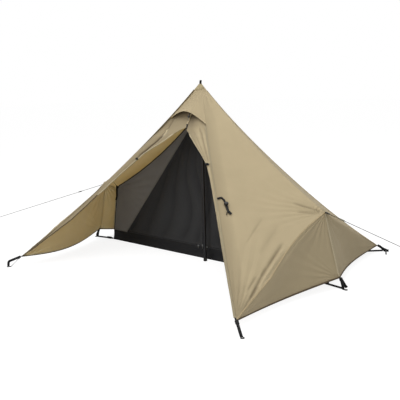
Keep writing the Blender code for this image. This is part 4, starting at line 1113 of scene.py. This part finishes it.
# %% Guy lines and their tabs
guy_end = {-1: at(-3000, -70, 2) * MM, 1: at(2550, 330, 2) * MM}
guy_radius, guy_points = 2 * MM, 60
tab_clearance, tab_length, tab_half = {-1: 0.8 * MM, 1: 1.5 * MM}, 34 * MM, 1.6 * MM
for side, name in side_names.items():
    pull, ground = pull_out[side], guy_end[side]
    along = unit(ground - pull)
    tab_end = pull + along * (tab_clearance[side] + tab_length)
    start = tab_end + along * touch_gap
    curve = with_settings(bpy.data.curves.new("guy_cord_" + name, "CURVE"), dimensions="3D",
                          bevel_depth=guy_radius, bevel_resolution=3, use_fill_caps=True)
    spline = curve.splines.new("POLY")
    spline.points.add(guy_points - 1)
    for spline_point, place in zip(spline.points, blend_points(start, ground, np.linspace(0, 1, guy_points))):
        spline_point.co = (*place, 1)
    curve.materials.append(finishes["guy_braid"])
    line = new_piece("guy_cord_" + name, curve, "tent")
    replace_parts(line, "guy_line_" + name)
    runner = rounded("tensioner_" + name, "line_tensioner_" + name, 1.6 * MM,
                     "black_plastic" if side < 0 else "olive_plastic", "tensioner_" + name)
    level = unit(along * at(1, 1, 0))
    beyond = unit(at(-level[1], level[0], 0))
    loop_path = np.array([ground + level * (22 * MM - 22 * MM * math.cos(a)) + beyond * 9 * MM * math.sin(a)
                          for a in np.linspace(0, 2 * np.pi, 33)])
    peg_loop = tube("guy_loop_" + name, loop_path, guy_radius, "guy_braid")
    knot_path = np.array([ground - level * 5 * MM + level * (a / 6.0) * 3.2 * MM + beyond * 3.0 * MM * math.cos(a)
                          + at(0, 0, 3.0 * MM * math.sin(a) + 2.9 * MM) for a in np.linspace(0, 6 * np.pi, 60)])
    knot = tube("guy_knot_" + name, knot_path, 1.4 * MM, "guy_braid")
    # The tab is a loop of webbing folded over the line
    up = unit(np.cross(along, np.cross(flat_up, along)))
    nose = tab_end - along * 3 * MM
    upper = blend_points(pull + along * 1.2 * MM + up * tab_half, nose + up * tab_half, np.linspace(0, 1, 8))
    turn = np.linspace(-0.5 * np.pi, 0.5 * np.pi, 9)[1:-1]
    round_end = [nose + along * 2.6 * MM * math.cos(a) - up * tab_half * math.sin(a) for a in turn]
    facing = np.concatenate((np.tile(up, (8, 1)), [along * math.cos(a) - up * math.sin(a) for a in turn],
                             np.tile(-up, (8, 1))))
    tab = strip("pull_loop_" + name, np.concatenate((upper, round_end, upper[::-1] - up * 2 * tab_half)), facing,
                20 * MM, 1.2 * MM, "webbing")
    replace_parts(tab, "pull_tab_" + name)

# %% [markdown]
# ## The pole
#
# The four tubes, the foot and the tip keep their own meshes, which are true turned shapes, and take finishes.

# %% Pole finishes


def refinish(look, *nodes):
    """Give solids that stay in view their finish."""
    for node in nodes:
        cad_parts[node].data.materials[0] = finishes[look]


refinish("pole_finish", "pole_section_1", "pole_section_2", "pole_section_3", "pole_section_4")
refinish("black_rubber", "pole_foot")
refinish("black_plastic", "pole_tip")
refinish("elastic_braid", "pole_shock_cord")

# %% [markdown]
# ## The inner tent
#
# It is half as deep as the canopy. A coated tub keeps water out, grey cloth makes its fixed front, roof and
# sides, and its two doors are black insect mesh, each sewn along a slanting seam with a light piping.

# %% Shape of the inner tent
inner_front_y, inner_rear_y, inner_lean, inner_peak_height = 32 * MM, 900 * MM, 48 * MM, 1296 * MM
inner_slope = inner_lean / inner_peak_height
floor_half, rear_half, seam_half = 1134 * MM, 985 * MM, 941 * MM
shoulder_half, shoulder_height = 1062 * MM, 532 * MM
tub_height, leaf_top_down, edge_hollow = 96 * MM, 160 * MM, 55 * MM
inner_gap, hinge_gap, inner_thickness = 0.4 * MM, 0.8 * MM, 0.8 * MM
inner_out = unit(at(0, -1, inner_slope))


def inner_front(x, z):
    """Points on the front face of the inner tent."""
    x, z = np.broadcast_arrays(x, z)
    return np.stack((x, inner_front_y + inner_slope * z, z), -1)


def half_width(height):
    """Half the width of the front face, at a height between the floor and the shoulders."""
    return floor_half - (floor_half - shoulder_half) * height / shoulder_height


panel_base = tub_height + inner_gap
peak, shoulder = inner_front(0, inner_peak_height), inner_front(shoulder_half, shoulder_height)
rim_front, rim_rear = inner_front(half_width(panel_base), panel_base), at(rear_half, inner_rear_y, panel_base)
seam_foot = inner_front(seam_half, panel_base)
leaf_top = peak + unit(seam_foot - peak) * leaf_top_down
inner_middle = at(0, (inner_front_y + inner_rear_y) / 2, shoulder_height / 2)


def inner_edge(share):
    """The edge from the peak to a shoulder. It is cut hollow, as the edge of a sail is, so that it stays tight."""
    inward = unit(np.cross(shoulder - peak, inner_out))
    inward = inward * (-1 if inward[2] > 0 else 1)
    return blend_points(peak, shoulder, share) + inward * (edge_hollow * 4 * share * (1 - share))[..., None]


def mirrored(points, side):
    return points * at(side, 1, 1)


def pushed_back(points, depth):
    """Folds of a front panel only ever lean back, away from the zip sliders in front of it."""
    return points + at(0, 1, 0) * np.maximum(depth, 0)[..., None]


def inner_cloth(name, points, solid, look, **settings):
    return cloth(name, points, solid, (look, look), thickness=inner_thickness, rests=["inner_tub"], **settings)


# %% Doors of the inner tent
# The folds of a mesh door fan out from a place above the peak
fan_height, fan_folds, fold_depth = inner_peak_height + 0.3, 26, 12 * MM
for side, name in side_names.items():
    down, across = rows_and_columns(110, 90)
    seam_edge = blend_points(leaf_top - at(hinge_gap, 0, 0), seam_foot - at(hinge_gap, 0, 0), down)
    zip_edge = inner_front(inner_gap, leaf_top[2] + (panel_base - leaf_top[2]) * down)
    points = seam_edge + (zip_edge - seam_edge) * across[..., None]
    fade = to_share(np.minimum(np.minimum(down, 1 - down) / 0.05, np.minimum(across, 1 - across) / 0.05))
    angle = np.arctan2(points[..., 0], fan_height - points[..., 2])
    fold = np.abs(np.cos(fan_folds * angle + 1.5 * slow_waves(points, 0.7, 80 + side)))
    depth = fold_depth * (1 - fold) * to_share(down * 1.6) + 4 * MM * (1 + slow_waves(points, 0.35, 82 + side))
    # Its folds are painted darker in their valleys: painted shade
    inner_cloth("mesh_door_" + name, mirrored(pushed_back(points, depth * fade), side), "inner_door_" + name,
                "black_mesh", body="inner_door_" + name, outward=inner_out,
                folds=0.4 * (1 - fold) * to_share(down * 2) * fade)

# %% Fixed front panels of the inner tent
above, below = np.linalg.norm(shoulder - peak), np.linalg.norm(rim_front - shoulder)
break_share = above / (above + below)
for side, name in side_names.items():
    down, across = rows_and_columns(100, 60)
    outer = np.where((down < break_share)[..., None], inner_edge(to_share(down / break_share)),
                     blend_points(shoulder, rim_front, to_share((down - break_share) / (1 - break_share))))
    inner = blend_points(peak, seam_foot, down)
    points = inner + (outer - inner) * across[..., None]
    fade = to_share(np.minimum(down, 1 - down) / 0.04) * to_share(np.minimum(across, 1 - across) / 0.08)
    drawn = fan(points, shoulder, blend_points(peak, seam_foot, 0.6), inner_out, 0.9, 9, 0.5, 1.0, 85)
    depth = 3 * MM * (1 + slow_waves(points, 0.3, 84 + side)) + 3 * MM * (1 + drawn)
    inner_cloth("grey_front_" + name, mirrored(pushed_back(points, depth * fade), side), "inner_front_" + name,
                "grey_mesh", outward=inner_out)
    # The piece above the door's top, up to the peak
    down, across = rows_and_columns(14, 14)
    top_left = inner_front(inner_gap, inner_peak_height + (leaf_top[2] + hinge_gap - inner_peak_height) * down)
    points = top_left + (blend_points(peak, leaf_top, down) - top_left) * across[..., None]
    inner_cloth("grey_peak_" + name, mirrored(points, side), None, "grey_mesh", outward=inner_out)

# %% Roof, sides and rear of the inner tent
behind = at(0, 1.4, 0) * MM
for side, name in side_names.items():
    down, across = rows_and_columns(80, 50)
    v = 0.05 + 0.95 * down
    first, second = to_share(2 * v), to_share(2 * v - 1)
    front = inner_edge(first) + behind + (rim_front - shoulder) * second[..., None]
    far = blend_points(peak + behind, rim_rear, first)
    points = front + (far - front) * (0.002 + 0.996 * across)[..., None]
    swell = np.sin(np.pi * first) * np.sin(np.pi * across) * 10 * MM
    swell = swell + 2 * MM * (1 + slow_waves(points, 0.3, 88)) * from_edges(down, across, 0.08)
    points = points + unit(inner_middle - points) * swell[..., None]
    inner_cloth("grey_side_" + name, mirrored(points, side), "inner_side_" + name, "grey_mesh",
                outward=mirrored(at(1, 0.2, 0.6), side))
down, across = rows_and_columns(70, 80)
right = blend_points(peak + behind, rim_rear, 0.1 + 0.9 * down)
points = right + (mirrored(right, -1) - right) * (0.001 + 0.998 * across)[..., None]
height = 2 * MM * slow_waves(points, 0.35, 90) * from_edges(down, across, 0.08)
inner_cloth("mesh_rear", points + unit(at(0, 1.2, 0.8)) * height[..., None], "inner_rear", "black_mesh",
            outward=at(0, 1, 0.7))

# %% [markdown]
# The tub is one coated sheet, folded up at its edges. Its walls lean and buckle a little, and its floor lies
# flat on the ground.

# %% Tub
tub_corners = [at(-floor_half, inner_front_y, 0), at(floor_half, inner_front_y, 0),
               at(rear_half, inner_rear_y, 0), at(-rear_half, inner_rear_y, 0)]


def tub_rim(corner):
    if corner[1] < inner_middle[1]:
        return inner_front(math.copysign(half_width(tub_height), corner[0]), tub_height)
    return corner + at(0, 0, tub_height)


def tub_loop(level, count=60):
    """One level of the tub's wall, from the floor (0) to the rim (1), as a closed loop of points."""
    corners = [blend_points(corner, tub_rim(corner), level) for corner in tub_corners]
    return np.concatenate([blend_points(a, b, np.linspace(0, 1, count, endpoint=False))
                           for a, b in zip(corners, corners[1:] + corners[:1])])


levels = np.linspace(0, 1, 9)
loops = np.array([tub_loop(level) for level in levels])
inward = unit((inner_middle - loops) * at(1, 1, 0))
buckle = 2.2 * MM * (1 + slow_waves(loops, 0.22, 95)) * np.sin(np.pi * levels)[:, None]
loops = loops + inward * (buckle + 0.5 * MM)[..., None]
bm, mesh = bmesh.new(), bpy.data.meshes.new("tub_sheet")
rows = [[bm.verts.new(point) for point in loop] for loop in loops]
for lower, upper in zip(rows, rows[1:]):
    for corners in zip(lower, lower[1:] + lower[:1], upper[1:] + upper[:1], upper):
        bm.faces.new(corners)
ground_edges = [e for e in bm.edges if all(abs(vertex.co.z) < 1e-6 for vertex in e.verts)]
bmesh.ops.triangle_fill(bm, edges=ground_edges, use_beauty=True)
bmesh.ops.recalc_face_normals(bm, faces=bm.faces)
bm.to_mesh(mesh)
bm.free()
x, y, z = np.array([vertex.co for vertex in mesh.vertices]).T
lay_flat(mesh, x + y, z + y)
tub = finish_piece("tub_sheet", mesh, "tent", "tub_cloth")
mesh.set_sharp_from_angle(angle=math.radians(40))
with_settings(tub.modifiers.new("back", "SOLIDIFY"), thickness=1.2 * MM, offset=0)
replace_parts(tub, "inner_tub")

# %% [markdown]
# Piping marks the slanting seams, tape binds the tub's rim and the edges of the mesh, and two zips meet at the
# foot of the doors. A zip is a chain of small teeth on a tape, which the tree above lays out.

# %% Tapes and piping of the inner tent
tape_lift, tooth_lift, tape_below_teeth = (inner_out * lift * MM for lift in (0.27, 0.7, 0.9))
down_steps = np.linspace(0, 1, 40)
tooth_paths = []
for side, name in side_names.items():
    line = blend_points(peak, seam_foot, 0.03 + 0.96 * down_steps) + tape_lift
    strip("piping_" + name, mirrored(line, side), inner_out, 4.5 * MM, 2.2 * MM, "piping", shift=0.8)
    line = np.concatenate((inner_edge(0.02 + 0.98 * down_steps[::2]),
                           blend_points(shoulder, rim_front, down_steps[2::2]))) - at(5, 0, 2) * MM
    strip("edge_tape_" + name, mirrored(line + tape_lift, side), inner_out, 10 * MM, 1.2 * MM, "mesh_tape",
          slot="grey_mesh")
    bottom = inner_front(side * (0.02 + (seam_half - 0.03) * down_steps), panel_base + 7 * MM)
    tooth_paths.append(bottom + tooth_lift)
rim = tub_loop(1.0)
rim_out = unit((rim - inner_middle) * at(1, 1, 0))
strip("rim_tape", np.concatenate((rim, rim[:1])) - at(0, 0, 3) * MM, np.concatenate((rim_out, rim_out[:1])),
      9 * MM, 1.1 * MM, "mesh_tape", slot="groundsheet")
centre_zip = inner_front(0, panel_base + 8 * MM + (leaf_top[2] - panel_base - 20 * MM) * down_steps)
tooth_paths.append(centre_zip + tooth_lift)

# %% Zips
tooth_sizes = {"Pitch": 3.2 * MM, "Tooth": (1.9 * MM, 5.0 * MM, 1.2 * MM), "Face": tuple(inner_out)}
zip_bodies = {"left": "inner_door_left", "right": "inner_door_right", "centre": "inner_door_left"}
for (place, body), line in zip(zip_bodies.items(), tooth_paths):
    grown("zip_teeth_" + place, [line], teeth, tooth_sizes, "zip_metal", body)
    strip("zip_tape_" + place, line - tape_below_teeth, inner_out, 15 * MM, 0.7 * MM, "mesh_tape", body)

# %% [markdown]
# ## Small fittings
#
# The sliders carry grey cord pulls. Webbing hangs the inner tent by its shoulders, and flat elastic with a
# buckle pulls its lower corners out to the pegs. The vent's prop is a ball on a short stem with a chain, and
# the strap on the right wall is a ball toggle in an elastic loop.

# %% Sliders, straps and elastic of the inner tent
refinish("chain_metal", "inner_slider_centre", "inner_slider_left", "inner_slider_right")
refinish("webbing", "shoulder_tie_left", "shoulder_tie_right", "peak_tie")
refinish("black_plastic", "door_tie_right")
for place in ("centre", "left", "right"):
    low, high = box_of("inner_slider_" + place)
    start = at((low[0] + high[0]) / 2, low[1] - 0.8 * MM, low[2] + 3 * MM)
    hang = np.array([start + at(0, 0.1, -k) * MM * 2.4 for k in range(11)])
    tube("slider_pull_" + place, hang, 1.5 * MM, "piping", "inner_slider_" + place, "elastic", (0, 1, 0))

# A strap follows the front edge down from each shoulder, and a light piping follows on below it
strap_run = rounded_turn(np.array((shoulder + at(-2, 0, 8) * MM, inner_front(1.064, 0.482),
                                   inner_front(1.064, 0.437), inner_front(1.077, 0.396))) + inner_out * 3.5 * MM)
piping_run = blend_points(shoulder, rim_front, 0.30 + 0.69 * down_steps) + inner_out * 1.6 * MM + at(2, 0, 0) * MM
# Each elastic: where it leaves the tub's corner and where its peg is, in millimetres
elastic_ends = {"front": (at(1136, 32, 8), at(1323, 0, 8)), "rear": (at(986, 901, 8), at(1188, 1081, 8))}
for side, name in side_names.items():
    strip("shoulder_strap_" + name, mirrored(strap_run, side), inner_out, 22 * MM, 2.6 * MM, "webbing")
    strip("edge_piping_" + name, mirrored(piping_run, side), inner_out, 9 * MM, 2.4 * MM, "rim_canvas",
          slot="grey_mesh")
    for end, (tub_end, peg_end) in elastic_ends.items():
        line = mirrored(blend_points(tub_end * MM, peg_end * MM, down_steps), side)
        beyond = unit(np.cross(line[-1] - line[0], flat_up))
        elastic = strip("corner_elastic_%s_%s" % (end, name), line - beyond * 1.5 * MM, beyond, 15 * MM, 3 * MM,
                        "elastic_braid")
        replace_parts(elastic, "corner_cord_%s_%s" % (end, name))
        strip("corner_buckle_%s_%s" % (end, name), line[4:15] - beyond * 5 * MM + at(0, 0, 3) * MM, beyond,
              21 * MM, 10 * MM, "black_plastic")

# %% Ties, prop and toggle


def ball(name, middle, radius, squash, body):
    """A moulded ball, a little flattened."""
    bm, mesh = bmesh.new(), bpy.data.meshes.new(name)
    bmesh.ops.create_uvsphere(bm, u_segments=24, v_segments=14, radius=radius)
    bmesh.ops.scale(bm, vec=(1, 1, squash), verts=bm.verts)
    bmesh.ops.translate(bm, vec=Vector(middle), verts=bm.verts)
    bm.to_mesh(mesh)
    bm.free()
    return finish_piece(name, mesh, body, "black_plastic")


tie_knot_shift, tie_first_column = {-1: at(24, 6, -6) * MM, 1: at(-7, 0, 0) * MM}, {-1: 86, 1: 66}
for side, name in side_names.items():
    ring = tie_rings[side]
    band = (ring + unit(ring - ring.mean(0)) * 1.6 * MM)[tie_first_column[side]:-2:3]
    tube("tie_band_" + name, band, 2.4 * MM, up=(0.1, 1, 0.2))
    middle = sum(box_of("door_tie_" + name)) / 2
    knot = np.array([middle + at(0.9 * a, -6.5 * math.sin(a), 6.5 * math.cos(a)) * MM
                     for a in np.linspace(0, 5 * np.pi, 60)]) + tie_knot_shift[side]
    made = tube("tie_knot_" + name, knot, 3.0 * MM)
    if side < 0:
        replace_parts(made, "door_tie_left")

prop_top, prop_knob, prop_low = at(0.034, -0.1185, 1.264), at(0.026, -0.1330, 1.231), at(0.022, -0.1365, 1.196)
stem = tube("vent_prop_stem", blend_points(prop_top, prop_knob, np.linspace(0, 1, 6)), 3.0 * MM, "black_plastic",
            "vent_strut")
ball("vent_prop_knob", prop_knob, 11 * MM, 0.9, "vent_strut")
grown("vent_prop_chain", [blend_points(prop_knob, prop_low, np.linspace(0, 1, 12))], stitches,
      {"Pitch": 4.5 * MM, "Length": 3.2 * MM, "Radius": 2.0 * MM}, "chain_metal", "vent_strut")
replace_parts(stem, "vent_strut")
low, high = box_of("zip_pull")
pull_top = at((low[0] + high[0]) / 2 + 24 * MM, low[1] + 28 * MM, high[2] - 2 * MM)
pull_low = at(0.036, low[1] + 2 * MM, low[2] + 6 * MM)
tail = tube("zip_pull_tail", blend_points(pull_top, pull_low, np.linspace(0, 1, 8)), 6 * MM, body="zip_pull")
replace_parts(tail, "zip_pull")

wall_out = unit(at(0.589599, -0.332568, 0.736051))


def on_wall(places, lift):
    return np.array(places) + wall_out * lift


loop_run = rounded_turn(on_wall(((0.5985, -0.5215, 0.6800), (0.6091, -0.4903, 0.6837), (0.6317, -0.4880, 0.6664),
                                 (0.6530, -0.4990, 0.6430)), 5 * MM))
loop_run[0] -= wall_out * 3 * MM
tube("toggle_loop", loop_run, 7.0 * MM, up=wall_out)
ball("toggle_knob", on_wall((0.6567, -0.5020, 0.6403), 16 * MM), 17 * MM, 0.85, "door_toggle")
fork_start, fork_end = at(0.6887, -0.5247, 0.6038), at(0.7010, -0.5580, 0.5790)
neck = rounded_turn(on_wall(((0.6600, -0.5050, 0.6365), fork_start, (0.6960, -0.5270, 0.5970),
                             (0.7185, -0.5245, 0.5807)), 8 * MM))
strap = strip("toggle_strap", neck, wall_out, 18 * MM, 5 * MM, "webbing", "door_toggle")
fork = on_wall(blend_points(fork_start, fork_end, np.linspace(0, 1, 6)), 8 * MM)
tube("toggle_cord", fork, 3.0 * MM, body="door_toggle", up=wall_out)
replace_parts(strap, "door_toggle")

# %% [markdown]
# ## Camera, floor and light
#
# The camera stands where the photographer stood: to the right of the door, at about eye height, five metres
# away. The light is a large soft box overhead and in front, with a pale sky all round.

# %% Camera
camera_yaw, camera_pitch, camera_roll = -0.6859, -0.1977, -0.0258
ahead_way = Vector((math.sin(camera_yaw) * math.cos(camera_pitch), math.cos(camera_yaw) * math.cos(camera_pitch),
                    math.sin(camera_pitch)))
right_way = Vector((math.cos(camera_yaw), -math.sin(camera_yaw), 0))
up_way = right_way.cross(ahead_way)
rolled_right = right_way * math.cos(camera_roll) + up_way * math.sin(camera_roll)
rolled_up = up_way * math.cos(camera_roll) - right_way * math.sin(camera_roll)
placement = Matrix((rolled_right, rolled_up, -ahead_way)).transposed().to_4x4()
placement.translation = (3.0928, -3.7646, 1.4951)
camera = add_object("camera", with_settings(bpy.data.cameras.new("camera"), sensor_width=36, lens=52.73))
camera.matrix_world = placement
bpy.context.scene.camera = camera

# %% Floor and light
world = bpy.data.worlds.new("studio")
bpy.context.scene.world = world
world.use_nodes = True
sky = world.node_tree
rays = add_node(sky, "ShaderNodeLightPath").outputs
lit, seen = (add_node(sky, "ShaderNodeBackground", {"Color": (1, 1, 1, 1), "Strength": strength}).outputs[0]
             for strength in (0.42, 1.0))
either = add_node(sky, "ShaderNodeMath", {0: rays["Is Camera Ray"], 1: rays["Is Glossy Ray"]}, operation="MAXIMUM")
any_ray = add_node(sky, "ShaderNodeMath", {0: either.outputs["Value"], 1: rays["Is Transmission Ray"]},
                   operation="MAXIMUM")
mixed = add_node(sky, "ShaderNodeMixShader", {"Fac": any_ray.outputs["Value"], 1: lit, 2: seen})
sky.links.new(mixed.outputs["Shader"], sky.nodes["World Output"].inputs["Surface"])

floor_reach, floor_drop = 40.0, 1 * MM
floor_mesh, floor_made = bpy.data.meshes.new("floor"), bpy.data.materials.new("floor")
floor_mesh.from_pydata([(x * floor_reach, y * floor_reach, -floor_drop)
                        for x, y in ((-1, -1), (1, -1), (1, 1), (-1, 1))], [], [(0, 1, 2, 3)])
floor_made.use_nodes = True
tree = floor_made.node_tree
tree.nodes.remove(tree.nodes["Principled BSDF"])
plain, faint = (add_node(tree, "ShaderNodeBsdfDiffuse", {"Color": (grey, grey, grey, 1)}).outputs["BSDF"]
                for grey in (0.6, 0.3))
glow = add_node(tree, "ShaderNodeEmission", {"Color": (1, 1, 1, 1), "Strength": 0.87})
shown = add_node(tree, "ShaderNodeAddShader", {0: faint, 1: glow.outputs["Emission"]})
camera_ray = add_node(tree, "ShaderNodeLightPath").outputs["Is Camera Ray"]
choice = add_node(tree, "ShaderNodeMixShader", {"Fac": camera_ray, 1: plain, 2: shown.outputs["Shader"]})
tree.links.new(choice.outputs["Shader"], tree.nodes["Material Output"].inputs["Surface"])
floor_mesh.materials.append(floor_made)
add_object("floor", floor_mesh)


def soft_box(name, place, aim, size, power):
    """A round soft lamp that is turned to what it lights."""
    made = add_object(name, with_settings(bpy.data.lights.new(name, "AREA"), shape="DISK", size=size, energy=power))
    turn = (Vector(aim) - Vector(place)).to_track_quat("-Z", "Y")
    return with_settings(made, location=place, rotation_mode="QUATERNION", rotation_quaternion=turn)


soft_box("overhead", (0.5, -1.5, 5.0), (0, 0, 0.5), 4.0, 125)
soft_box("front", (-1.0, -5.5, 2.6), (0, 0, 0.7), 2.5, 45)
soft_box("side", (5.0, -1.5, 4.2), (0, 0, 0.6), 2.5, 35)

# %% [markdown]
# ## The view
#
# Colours are shown through the Standard view transform.

# %% Finish
bpy.context.scene.view_settings.view_transform = "Standard"
